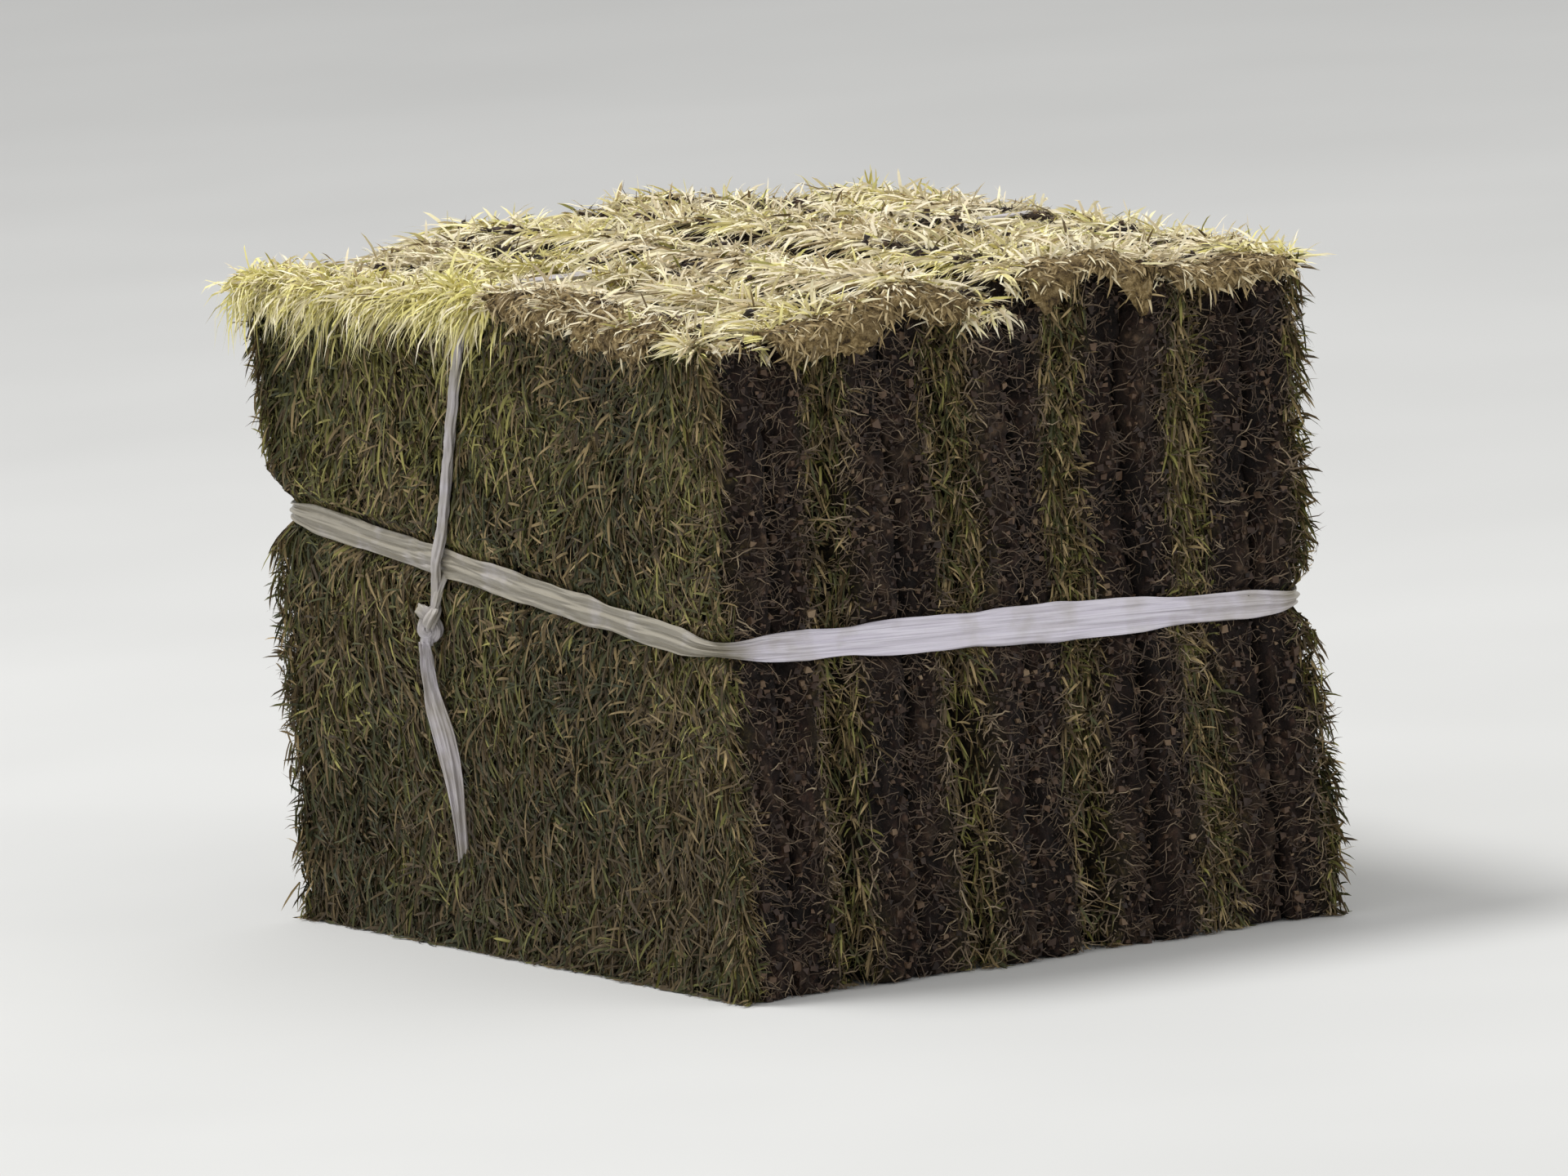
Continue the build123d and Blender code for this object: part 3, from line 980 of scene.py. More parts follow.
def settled(line, pressed):
    """Middle lines where they end up on the bundle, and which of them to keep. They slump like
    the mats, are held near the frame and above the ground, and are pressed under the tapes. One
    that would still bridge a tape is left out: the middle of one of its runs would have to move
    in by more than a limit."""
    line = hold(slump(line))
    line[..., 2] = np.maximum(line[..., 2], 0.8)
    if not pressed:
        return line, np.ones(len(line), bool)
    line = press(line, *LEAF_GIVE)
    middle = (line[:, 1:] + line[:, :-1]) / 2
    moved = np.linalg.norm(press(middle, *LEAF_GIVE) - middle, axis=-1)
    return line, moved.max(axis=1) < BRIDGE_LIMIT


def middle_lines(roots, heading, bend, length, way):
    """Lines that start along the heading and turn by the bend with the square of the way."""
    run = length[:, None, None]
    return roots[:, None] + heading[:, None] * run * way + bend[:, None] * run * way**2


def leaves(roots, heading, bend, side, length, width, tone, only=True, pressed=True, shape=None):
    """Leaves round their middle lines, or only some of them. A shape is a function that the
    lines go through before they settle."""
    line = middle_lines(roots, heading, bend, length, LEAF_WAY)
    line, kept = settled(shape(line) if shape else line, pressed)
    kept = kept & only
    return ribbons(line[kept], side[kept], LEAF_TAPER, width[kept], tone[kept])


print("a leaf is widest", LEAF_WAY[0, 1, 0], "of the way along")


# %% Make beds of leaves
def bed_piece(name, material, beds):
    """One object from several beds of leaves or roots."""
    starts = np.cumsum([0] + [bed[0].shape[0] * bed[0].shape[1] for bed in beds])
    points = np.concatenate([bed[0].reshape(-1, 3) for bed in beds])
    corners = np.concatenate([bed[1] + start for bed, start in zip(beds, starts)])
    sizes, maps = (np.concatenate([bed[k] for bed in beds]) for k in (2, 3))
    shades, alongs = (np.concatenate([bed[k].ravel() for bed in beds]) for k in (4, 5))
    points[:, 2] = np.maximum(points[:, 2], 0.2)
    piece = new_piece(name, points, corners, sizes, maps, material, False, tone=shades, along=alongs)
    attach(piece, "root")
    print(name, "has", len(sizes), "faces")
    return piece


def spin(count, **spans):
    """Random numbers for the leaves of a bed, one name after another, each from its own span."""
    return {name: dice.uniform(low, high, count) for name, (low, high) in spans.items()}


def clumps(count, members, **spans):
    """Random numbers that the leaves of a clump share. Each clump draws its own, and each leaf
    belongs to a clump picked at random."""
    owner = dice.integers(0, count // members, count)
    return {name: drawn[owner] for name, drawn in spin(count // members, **spans).items()}


def any_side(heading):
    """A direction square to each heading, turned about it at random."""
    return unit(np.cross(heading, dice.normal(0, 1, heading.shape)))


print("a bed of 1000 leaves in clumps of 9 has", 1000 // 9, "clumps")

# %% [markdown]
# ## The two grass faces
#
# The outer faces are the swards of the first and the last mat, matted flat by handling. A
# picture of grass would look flat from the side, so every leaf is there. Leaves near each other
# lie the same way: their heading follows a random field that leans downwards, and each leaf
# strays from it a good deal.

# %% Lay the grass faces
FACE_LEAVES = 38000


def face_bed(mat, count):
    """Leaves over a whole grass face, in clumps that head the same way: along the face by a
    random field, lifted a little off it, and bent back to it by their own weight."""
    side = grass_side(mat)
    span = (-HALF_LENGTH, HALF_LENGTH)
    own = clumps(count, 9, y=span, up=(0, 1), lay=(-1.2, 1.2), shade=(-0.13, 0.13))
    got = spin(count, deep=(0, 0.15), lift=(2, 26), length=(6, 18), width=(0.6, 1.4))
    y = np.clip(own["y"] + dice.normal(0, 5, count), 2 - HALF_LENGTH, HALF_LENGTH - 2)
    z = np.clip(own["up"] + dice.normal(0, 0.02, count), 0.004, 0.996) * mat_top(mat, y)
    roots = on_mat(mat, SOIL_SHARE + got["deep"], y, z)
    lay = -np.pi / 2 + 1.5 * layered(roots, 60, seed=90 + mat, layers=2)
    lay = lay + own["lay"] + dice.normal(0, 0.6, count)
    lift = np.radians(got["lift"])
    flat = np.cos(lift)
    heading = np.stack((side * np.sin(lift), flat * np.cos(lay), flat * np.sin(lay)), -1)
    sway = dice.normal(0, 0.14, count)
    bend = np.stack((np.full(count, -side * 0.22), sway, np.full(count, -0.15)), -1)
    across = unit(np.cross(heading, np.array((side, 0, 0)) + dice.normal(0, 0.5, (count, 3))))
    # High up towards the back it is greener and lighter, and it has withered elsewhere.
    # Low down every leaf is painted darker, as shade near the ground.
    fresh = np.clip((z - 130) / 130, 0, 1) * np.clip((y + 90) / 240, 0, 1)
    low = np.clip(1 - z / 170, 0, 1)
    tone = 0.8 - 0.13 * fresh + 0.1 * low + 0.16 * layered(roots, 46, seed=120 + mat, layers=3)
    tone = np.maximum(tone + own["shade"] + dice.normal(0, 0.09, count), 0.58)
    withered = dice.random(count) < 0.56 - 0.3 * fresh + 0.3 * field(roots, 38, seed=124)
    tone = np.where(withered, dice.uniform(0.04, 0.26, count) * (1 - 0.4 * low), tone)

    def flat_on_face(line):
        """Keeps a leaf between the thatch and 3 mm past the face."""
        outer = HALF_STACK * spread(line[..., 2])
        line[..., 0] = side * np.clip(np.abs(line[..., 0]), outer - 6.0, outer + 3)
        return line

    return leaves(roots, heading, bend, across, got["length"], got["width"], tone, shape=flat_on_face)


for mat in (0, MAT_COUNT - 1):
    bed_piece(f"grass_face_{mat + 1:02d}", leaf, [face_bed(mat, FACE_LEAVES)])

# %% [markdown]
# ## Grass at the rims
#
# Between two mats that lie grass on grass, the sward shows as a narrow stripe on the front and
# the back. Its leaves are rooted in the last few millimetres of the sward and head outwards.
# Clumps share most of their random numbers, because single leaves strewn evenly look like fur.

# %% Define the grass of a rim
RIM_LEAVES = 2600


def rim_bed(mat, count, end):
    """Leaves on the front (end -1) or the back (end 1) of one mat's sward, in clumps. A heading
    is the clump's lean along the rim, a little outwards, and the clump's own way down or up."""
    shared = {"up": (0, 1), "share": (SOIL_SHARE - 0.1, 0.98), "lay": (-0.8, 0.8)}
    own = clumps(count, 7, **shared, down=(-1.3, 0.35), shade=(-0.12, 0.12))
    got = spin(count, deep=(0, 9), out=(0.1, 0.6), length=(4, 12), width=(0.6, 1.3), shed=(0, 1))
    share = np.clip(own["share"] + dice.normal(0, 0.07, count), SOIL_SHARE - 0.14, 0.99)
    y = end * (HALF_LENGTH - got["deep"])
    z = np.clip(own["up"] + dice.normal(0, 0.012, count), 0.004, 0.985) * mat_top(mat, y)
    roots = on_mat(mat, share, y, z)
    slew = 0.5 * own["lay"] + dice.normal(0, 0.2, count)
    heading = unit(np.stack((slew, end * got["out"], own["down"]), -1))
    sway = dice.normal(0, 0.1, count)
    bend = np.stack((sway, np.full(count, -0.2 * end), np.full(count, -0.28)), -1)
    across = any_side(heading)
    tone = 0.77 + 0.16 * layered(roots, 40, seed=150, layers=2)
    tone = np.maximum(tone + own["shade"] + dice.normal(0, 0.09, count), 0.6)
    tone = np.where(dice.random(count) < 0.58, dice.uniform(0.04, 0.27, count), tone)
    # Some stretches of the stripes are thick and others nearly bare.
    thick = 0.68 + 0.5 * field(roots, 26, seed=156) + 0.6 * field(roots * (1, 1, 0.4), 60, seed=158)
    kept = got["shed"] < thick
    return leaves(roots, heading, bend, across, got["length"], got["width"], tone, only=kept)


print("each rim has", RIM_LEAVES, "leaves, less its bare stretches")

# %% [markdown]
# ## Straw on the top
#
# On top the sward stands up and falls over, and the sun has dried most of it to straw. It is
# densest at the sward and lies strewn over the soil as well. More of it hangs over the front
# and the back edge, where it breaks the straight line of the cut.

# %% Define the straw of a top
TOP_LEAVES = 5200


def top_bed(mat, count):
    """Straw on the top of one mat, most of it near the sward and the rest strewn over the soil.
    A heading is the clump's fall across the mat, its slew along it and a small rise. More of
    them fall towards the mat's own soil than away from it."""
    side = grass_side(mat)
    shared = {"y": (-HALF_LENGTH, HALF_LENGTH), "near": (0, 1), "fall": (-0.7, 1.2)}
    own = clumps(count, 8, **shared, slew=(-0.9, 0.9), rise=(0.02, 0.5), shade=(-0.06, 0.06))
    got = spin(count, deep=(0, 6), length=(6, 20), width=(0.6, 1.5))
    share = np.clip(0.99 - 0.97 * own["near"] ** 2.0 + dice.normal(0, 0.08, count), 0.02, 0.99)
    y = np.clip(own["y"] + dice.normal(0, 5, count), 6 - HALF_LENGTH, HALF_LENGTH - 6)
    z = mat_top(mat, y) - got["deep"] * (share > 0.6) + 0.8 * (share < 0.6)
    roots = on_mat(mat, share, y, z)
    fall = -side * own["fall"] + dice.normal(0, 0.35, count)
    slew = own["slew"] + dice.normal(0, 0.35, count)
    heading = unit(np.stack((fall, slew, own["rise"] * (0.4 + share)), -1))
    bend = np.stack((0.12 * fall, dice.normal(0, 0.15, count), np.full(count, -0.3)), -1)
    across = any_side(heading)
    # Most tones sit at the palest place of the ramp, partly as painted sunlight on the top.
    tone = 0.4 + 0.8 * own["shade"] + 0.05 * layered(roots, 44, seed=180, layers=2)
    tone = tone + dice.normal(0, 0.03, count)
    other = dice.random(count)
    tone = np.where(other < 0.07, dice.uniform(0.08, 0.25, count), tone)
    tone = np.where(other > 0.95, dice.uniform(0.5, 0.64, count), tone)
    kept = dice.random(count) < 1.02 + 1.1 * field(roots, 24, seed=186)
    return leaves(roots, heading, bend, across, got["length"], got["width"], tone, only=kept)


print("each top has", TOP_LEAVES, "leaves of straw, less its bare stretches")

# %% Define the straw of an edge
EDGE_LEAVES = 180
# Where thatch flaps hang over the front or the left edge: from and to along it, counted from the
# left or from the back, how far down they hang, how much of that an arch takes away in the
# middle, and a seed.
FLAPS = (
    ("front", -108, -20, 17, 0.3, 400),
    ("front", 4, 62, 20, 0.7, 420),
    ("front", 70, 128, 13, 0.5, 440),
    ("left", 30, 166, 14, 0.35, 460),
)


def brow_bed(mat, count, end):
    """Straw that hangs over the top of the front (end -1) or the back (end 1), but not where a
    flap hangs. A heading is the clump's lean along the edge, its way out and its rise, plus a
    random part, so some lie along the edge and some stick up."""
    shared = {"share": (0, 1), "deep": (-1, 12), "lay": (-1.4, 1.4), "out": (0.1, 1.0)}
    shared |= {"rise": (-0.6, 0.6), "length": (3, 13), "sag": (-0.8, -0.1), "shade": (-0.12, 0.07)}
    own = clumps(count, 9, **shared)
    got = spin(count, under=(0, 5), shorter=(0.6, 1.0), width=(0.6, 1.6))
    y = end * (HALF_LENGTH - own["deep"] + dice.normal(0, 1.5, count))
    z = mat_top(mat, y) - got["under"]
    share = own["share"] + dice.normal(0, 0.09, count)
    roots = on_mat(mat, share, y, z)
    heading = np.stack((own["lay"], end * own["out"], own["rise"]), -1)
    heading = unit(heading + dice.normal(0, 0.22, (count, 3)))
    sway = dice.normal(0, 0.15, count)
    bend = np.stack((sway, np.full(count, -0.3 * end), own["sag"]), -1)
    across = any_side(heading)
    tone = 0.36 + own["shade"] + dice.normal(0, 0.05, count)
    length = own["length"] * got["shorter"]
    x = roots[:, 0]
    spans = [(start, stop) for edge, start, stop, *_ in FLAPS if edge == "front"]
    kept = np.all([(x < start + 3) | (x > stop - 3) | (end > 0) for start, stop in spans], axis=0)
    return leaves(roots, heading, bend, across, length, got["width"], tone, only=kept)


print("straw hangs over both edges, but not where a flap is:", [flap[:3] for flap in FLAPS])

# %% Lay the rims and the tops
for mat in range(MAT_COUNT):
    bed_piece(f"grass_rim_{mat + 1:02d}", leaf, [rim_bed(mat, RIM_LEAVES, end) for end in (-1, 1)])
    beds = [top_bed(mat, TOP_LEAVES)] + [brow_bed(mat, EDGE_LEAVES, end) for end in (-1, 1)]
    bed_piece(f"straw_top_{mat + 1:02d}", straw, beds)

# %% [markdown]
# ## The fresh tuft
#
# Along the back half of the left top edge the sward still grows, bright and yellow-green. Its
# leaves are longer than the mown ones and lie over the tape, so they aren't pressed under it.


# %% Stand up the fresh tuft
def tuft_bed(count):
    """Fresh leaves in clumps along the first mat's top edge. A heading is the clump's fall
    outwards, its slew and its rise, plus a random part. The sag then pulls the tips down."""
    shared = {"y": (-14, HALF_LENGTH - 2), "fall": (-0.35, 1.0), "slew": (-0.5, 0.5)}
    shared |= {"rise": (0.0, 0.8), "length": (13, 34), "sag": (-1.0, -0.4), "shade": (-0.05, 0.06)}
    own = clumps(count, 13, **shared)
    got = spin(count, share=(0.55, 1.0), deep=(-1, 9), shorter=(0.6, 1.0), width=(0.7, 1.6))
    y = own["y"] + dice.normal(0, 4, count)
    z = mat_top(0, y) - got["deep"]
    roots = on_mat(0, got["share"], y, z)
    heading = np.stack((-own["fall"], own["slew"], own["rise"]), -1)
    heading = unit(heading + dice.normal(0, 0.2, (count, 3)))
    bend = np.stack((np.full(count, 0.15), dice.normal(0, 0.12, count), own["sag"]), -1)
    across = any_side(heading)
    tone = 0.47 + own["shade"] + dice.normal(0, 0.035, count)
    length = own["length"] * got["shorter"]
    return leaves(roots, heading, bend, across, length, got["width"], tone, pressed=False)


TUFT_LEAVES = 4000
bed_piece("grass_tuft", straw, [tuft_bed(TUFT_LEAVES)])

# %% [markdown]
# ## Loose flaps
#
# In some places the thatch has come away from the top of a mat and curled over the edge. It is
# a dry felt of dead stems, pale brown and quite dull. Its mottle could be painted, but noise at
# the scale of its stems stays sharp from near by.

# %% Make the dry thatch
STEM_MM = 3
STAIN_MM = 12
thatch, tree = new_tree("dry_thatch")
place = add_node(tree, "ShaderNodeTexCoord", out="Object")
matting = {"Vector": place, "Scale": 1000 / STEM_MM, "Detail": 4.0, "Roughness": 0.7}
matting = add_node(tree, "ShaderNodeTexNoise", matting)
stain = {"Vector": place, "Scale": 1000 / STAIN_MM, "Detail": 3.0}
stain = add_node(tree, "ShaderNodeTexNoise", stain)
DRY_FELT = ((0.36, "33281a"), (0.5, "75623f"), (0.66, "a8936a"))
dry_felt = add_node(tree, "ShaderNodeValToRGB", {"Fac": matting}, stops=DRY_FELT)
stained = {"Value": stain, "From Min": 0.5, "From Max": 0.75, "To Max": 0.7}
stained = add_node(tree, "ShaderNodeMapRange", stained)
dry_felt = add_node(tree, "ShaderNodeMix", {0: stained, 6: dry_felt, 7: linear("3b2d20")}, **COLOURS)
thatch_surface = {"Base Color": dry_felt, "Roughness": 0.9, "Specular IOR Level": 0.2}
finish_material(tree, thatch_surface, matting, strength=1.0, depth=2.5)
print("thatch:", thatch.name)

# %% [markdown]
# ## Curled over the edge
#
# A flap could be a sheet that a cloth simulation drops over the edge. Only its end shows, so it
# is a thin sheet whose section is a curve with five control points. Each of them is weighted by
# a binomial polynomial, so the sheet bends smoothly from level to hanging.

# %% Find the edges that the flaps hang over
# The faces have their full width a little below the top.
NEAR_TOP = 1.028


def flap_edge(edge, along):
    """The height of the top and the place of the face along an edge. On the front both are
    read off between the middles of the mats, and on the left there is only the first mat."""
    if edge == "left":
        return mat_top(0, -along), HALF_STACK * NEAR_TOP
    middles = (np.arange(MAT_COUNT) + 0.5 - MAT_COUNT / 2) * MAT_PITCH * (1 + TOP_SPREAD)
    tops = np.array([mat_top(mat, -170.0) for mat in range(MAT_COUNT)])
    face = HALF_LENGTH * NEAR_TOP + np.interp(along, middles, FRONT_STEPS)
    return np.interp(along, middles, tops), face


print("in its middle the front edge is", flap_edge("front", 0.0)[0].round(1), "mm high")


# %% Shape a flap
def flap_grid(edge, start, stop, drop, arch, seed):
    """The two faces of a flap as one ring for each place along it: outwards along the section
    and back along its underside. It hangs down by the drop, less the arch in its middle, and
    its end is torn by finer random fields."""
    way = np.linspace(0, 1, 90)
    along = (start + (stop - start) * way)[:, None]
    top, face = flap_edge(edge, along)
    place = np.stack((along, 0 * along, 0 * along), -1)
    rough, torn = layered(place, 18, seed=seed, layers=3), layered(place, 5, seed=seed + 9, layers=2)
    ends = np.clip(np.minimum(way, 1 - way) / 0.12, 0, 1)[:, None] ** 0.5
    fall = drop * ends * (1 - arch * np.sin(np.pi * way)[:, None]) * (1 + 0.35 * rough)
    high = top + 1.0 + 4.6 * ends * (1 + 0.4 * rough)
    keys_out = (face - 26, face - 8, face + 8, face + 11, face + 9 + 2.5 * rough + 1.5 * torn)
    keys_z = (top - 0.5, high, high, top - 0.5 * fall, top - fall - 2.0 * torn)
    s = np.linspace(0, 1, 30)[None, :]
    weights = [choose * s**k * (1 - s) ** (4 - k) for k, choose in enumerate((1, 4, 6, 4, 1))]
    out = sum(weight * key for weight, key in zip(weights, keys_out))
    z = sum(weight * key for weight, key in zip(weights, keys_z))
    along = np.broadcast_to(along, out.shape)
    sheet = np.stack((along, -out, z) if edge == "front" else (-out, -along, z), -1)
    up = unit(np.cross(np.gradient(sheet, axis=1), np.gradient(sheet, axis=0)))
    wrinkle = 0.9 * layered(sheet, 10, seed=seed + 3, layers=3)
    wrinkle = wrinkle + 0.9 * lumpy(sheet, 6, seed=seed + 7, layers=2)
    outer = sheet + up * wrinkle[..., None]
    inner = sheet + up * (wrinkle - 2.2 + 0.8 * s)[..., None]
    return slump(np.concatenate((outer, inner[:, ::-1]), axis=1)), outer, up


print("a flap has rings of", flap_grid(*FLAPS[0])[0].shape[1], "points")

# %% Hang the flaps
STRAWS_PER_MM = 6


def flap_straw(outer, up, count):
    """Straw on a flap. It lies on the sheet at any angle to its section, which is drawn from a
    bell curve, so a few ends stick out past the sheet's own end."""
    rows, columns = outer.shape[:2]
    row, column = dice.integers(1, rows - 1, count), dice.integers(2, columns - 2, count)
    forward = unit(outer[row, column + 1] - outer[row, column - 1])
    roots, up = outer[row, column], up[row, column]
    angle = dice.normal(0, 1.3, (count, 1))
    heading = np.cos(angle) * forward + np.sin(angle) * np.cross(up, forward)
    heading = unit(heading + up * dice.uniform(-0.05, 0.3, (count, 1)))
    bend = -0.25 * up + (0, 0, -0.1)
    across = unit(np.cross(heading, up + dice.normal(0, 0.4, (count, 3))))
    got = spin(count, length=(3, 9), width=(0.5, 1.2))
    tone = 0.26 + dice.normal(0, 0.06, count)
    return leaves(roots, heading, bend, across, got["length"], got["width"], tone, pressed=False)


strewn = []
for number, flap in enumerate(FLAPS):
    ring, outer, up = flap_grid(*flap)
    unmarked = np.zeros(ring.shape[:2])
    piece = skin_piece(f"thatch_flap_{number + 1:02d}", ring, unmarked, unmarked, thatch)
    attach(piece, "root")
    strewn.append(flap_straw(outer, up, round(STRAWS_PER_MM * (flap[2] - flap[1]))))
bed_piece("flap_straw", leaf, strewn)

# %% [markdown]
# ## Roots
#
# Roots hold the soil together, and the cutter leaves their ends in the rim. They grow from the
# grass into the soil, so most lie across the mat. They are thinner than leaves, crooked, pale
# brown and dull. Real ones are 0.2 mm thick, and these are drawn twice as thick to show. They
# could be grown from the grass downwards, but only their last centimetre shows, so each starts
# at a random place of the cut skin and stays near it.

# %% Define roots
ROOT_TAPER = (1.0, 0.9, 0.8, 0.7, 0.55)


def fibres(roots, heading, bend, side, length, width, tone, wander):
    """Roots: the middle line of a leaf with one and a half waves on it, sideways and outwards,
    each starting anywhere."""
    way = np.linspace(0, 1, 6)[None, :, None]
    line = middle_lines(roots, heading, bend, length, way)
    run = length[:, None, None]
    start = dice.uniform(0, 2 * np.pi, (2, len(roots), 1, 1))
    out = np.cross(heading, side)
    for direction, first in ((side, start[0]), (out, start[1])):
        line = line + direction[:, None] * wander * run * np.sin(3 * np.pi * way + first) * way
    line, kept = settled(line, True)
    return ribbons(line[kept], side[kept], ROOT_TAPER, width[kept], tone[kept])


def root_bed(mat, count, where):
    """Root ends on the front (-1), the back (1) or the top (0) of one mat's soil, at random
    places of its skin. A third of them are in the thatch, between the soil and the sward."""
    out = np.array((0.0, where, 0.0 if where else 1.0))
    got = spin(count, length=(4, 13), width=(0.3, 0.6), out=(0.02, 0.35))
    in_thatch = dice.random(count) < 0.36
    share = np.where(in_thatch, dice.normal(0.94, 0.08, count), dice.uniform(0.04, 0.97, count))
    row = len(SIDE_SHARES) + np.rint(np.clip(share, 0, 1) * (len(RIM) - 1)).astype(int)
    column = dice.choice(np.flatnonzero(RIM_RAYS @ out[1:] > 0.7), count)
    roots = bare_skins[mat][row, column] + 0.4 * out + dice.normal(0, 0.4, (count, 3))
    heading = dice.normal(0, 1, (count, 3)) * (1.2, 0.7, 0.7) - (0, 0, 0.35)
    heading -= (heading @ out)[:, None] * out
    heading = unit(unit(heading) + out * got["out"][:, None])
    bend = 0.3 * unit(dice.normal(0, 1, (count, 3))) - 0.16 * out
    across = unit(np.cross(heading, out + dice.normal(0, 0.3, (count, 3))))
    tone = np.where(in_thatch, dice.uniform(0.25, 0.95, count), dice.beta(1.4, 3.0, count))
    width = got["width"] * np.where(in_thatch, 1.4, 1.0)
    return fibres(roots, heading, bend, across, got["length"], width, tone, 0.07)


print("at its tip a root is", ROOT_TAPER[-1], "of its full width")

# %% Lay the roots
# How many there are on the front, the back and the top of each mat.
ROOT_COUNTS = {-1: 1100, 1: 1100, 0: 800}
for first in range(0, MAT_COUNT, 2):
    pair = (first, first + 1)
    beds = [root_bed(mat, count, where) for mat in pair for where, count in ROOT_COUNTS.items()]
    bed_piece(f"roots_{first + 1:02d}_{first + 2:02d}", root_fibre, beds)

# %% [markdown]
# ## Crumbs
#
# The cut breaks small crumbs of loam loose, and they stick to the soil. The bump of the soil's
# material can't stand out against the light, so the larger ones are real shapes. A cube whose
# corners are pulled about looks broken enough at this size, and has only six faces.

# %% Make crumbly loam
CRUMB_STOPS = ((0.0, "1a120e"), (0.45, "35261d"), (0.8, "5c4837"), (1.0, "857259"))
crumb = leaf_material("loam_crumbs", CRUMB_STOPS, 0.0, "1a120e", "5c4837")
print("crumbs:", crumb.name)


# %% Strew the crumbs
def crumb_bed(spots, count):
    """Crumbs of loam at random spots of the soil: cubes of 1 to 5 mm whose eight corners are
    pulled about at random."""
    at = spots[dice.integers(0, len(spots), count)] + dice.normal(0, 0.5, (count, 3))
    half = 0.5 + 2.1 * dice.beta(1.2, 3.2, count)[:, None, None]
    cube = np.array(list(np.ndindex(2, 2, 2))) * 2.0 - 1.0
    points = at[:, None] + half * (0.62 * cube + dice.uniform(-0.42, 0.42, (count, 8, 3)))
    faces = np.array((0, 1, 3, 2, 4, 6, 7, 5, 0, 4, 5, 1, 2, 3, 7, 6, 0, 2, 6, 4, 1, 5, 7, 3))
    corners = (np.arange(count)[:, None] * 8 + faces).ravel()
    shade = np.repeat(dice.beta(1.5, 2.0, count), 8).reshape(count, 8)
    half_way = np.full(shade.shape, 0.5)
    flat = (0.005 + 0.98 * shade + 0.002 * cube[:, 0], half_way + 0.01 * cube[:, 1])
    flat = np.stack(flat, -1).reshape(-1, 2)
    return [points, corners, np.full(6 * count, 4), flat[corners], shade, half_way]


CRUMBS_PER_MAT = 1500
bed_piece("crumbs", crumb, [crumb_bed(spots, CRUMBS_PER_MAT) for spots in crumb_spots])

# %% [markdown]
# ## The belt
#
# The belt is one strip of film right round the bundle. It could be shrunk onto the turf by a
# modifier, but tight film bridges hollows and stays straight. So its line is the rounded
# rectangle of the squeeze, raised to the sloping plane.

# %% Draw the belt's line
BELT_STEP = 2.0
belt_loop, belt_rays = rounded_loop(BELT_X, -BELT_Y, BELT_Y, BELT_CORNER, BELT_CORNER)
belt_run, belt_flat, belt_out = respaced(belt_loop, BELT_STEP, belt_rays, looped=True)
belt_line = np.column_stack((belt_flat, belt_z(*belt_flat.T)))
belt_out = unit(np.column_stack((belt_out, 0 * belt_run)))
print("the belt is", round(belt_run[-1] + BELT_STEP), "mm round")

# %% Wrap the belt
belt_half = belt_half_width(*belt_flat.T)
belt_folds = 0.85 - 0.045 * belt_half
# On the grass faces the belt is greyed, partly by dust and partly as painted shade.
on_grass = np.clip((np.abs(belt_flat[:, 0]) - BELT_X + 14) / 12, 0, 1)
# On the front and the back it is cleanest in the middle and greyer towards the corners.
near_corner = np.clip((np.abs(belt_flat[:, 0] + 10) - 48) / 70, 0, 1)
belt_dust_and_shade = 0.08 + 0.7 * on_grass + 0.3 * near_corner * (1 - on_grass)
belt_dust_and_shade = belt_dust_and_shade + 0.12 * field(belt_line, 45, seed=55)
belt_strip = strip(
    belt_line, belt_out, belt_run, belt_half, belt_folds, seed=50, dust=belt_dust_and_shade, looped=True, lift=1.0
)
belt = film_piece("belt", [belt_strip])
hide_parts("tape_belt")

# %% [markdown]
# ## The second tape and its knots
#
# The second tape is drawn up narrow. It comes down over the belt, goes round it and is tied to
# itself just below, so a knot is a turn of gathered film, and two strands meet in it. A flat
# strip would be too smooth for it, so it is a strand.

# %% Draw the line of the second tape
STRAP_STEP = 1.6
corner_at = (STRAP_TOP_X - STRAP_CORNER, STRAP_TOP + 0.8 - STRAP_CORNER)
corner, corner_rays = quarter_turn(corner_at, STRAP_CORNER, 0)
right_foot, left_foot = (STRAP_X, KNOTS[1, 2] + 3), (-STRAP_X, KNOTS[0, 2] + 3)
arch = np.concatenate(((right_foot,), corner, corner[::-1] * (-1, 1), (left_foot,)))
arch_rays = (((1.0, 0.0),), corner_rays, corner_rays[::-1] * (-1, 1), ((-1.0, 0.0),))
arch_rays = np.concatenate(arch_rays)
arch_line = np.column_stack((arch[:, 0], strap_y(arch[:, 1]), arch[:, 1]))
arch_out = np.column_stack((arch_rays[:, 0], 0 * arch[:, 0], arch_rays[:, 1]))
strap_run, strap, strap_out = respaced(arch_line, STRAP_STEP, arch_out)
strap_out = unit(strap_out)
print("the second tape is", round(strap_run[-1]), "mm long")

# %% Lay the second tape
STRAP_DUST = 0.5
over_belt = hill(strap[:, 2] - belt_z(strap[:, 0], strap[:, 1]), 0, 8) * (np.abs(strap[:, 0]) > 120)
strap = strap + strap_out * (1.0 + 1.6 * over_belt)[:, None]
strap_half = 2.9 + 0.5 * field(strap, 60, seed=70)
strap_thick = 1.5 - 0.3 * over_belt
strap_parts = [strand(strap, strap_out, strap_run, strap_half, strap_thick, seed=60, dust=STRAP_DUST)]
print("over the belt it stands out by", (1.0 + 1.6 * over_belt).max().round(1), "mm")

# %% [markdown]
# ## The knots
#
# A knot in such film is drawn so tight that only a lump with a few turns shows. Its line is
# that of an overhand knot, squeezed flat, and strands of the same film lead into it. A plain
# lump would be simpler, but its turns catch the light.

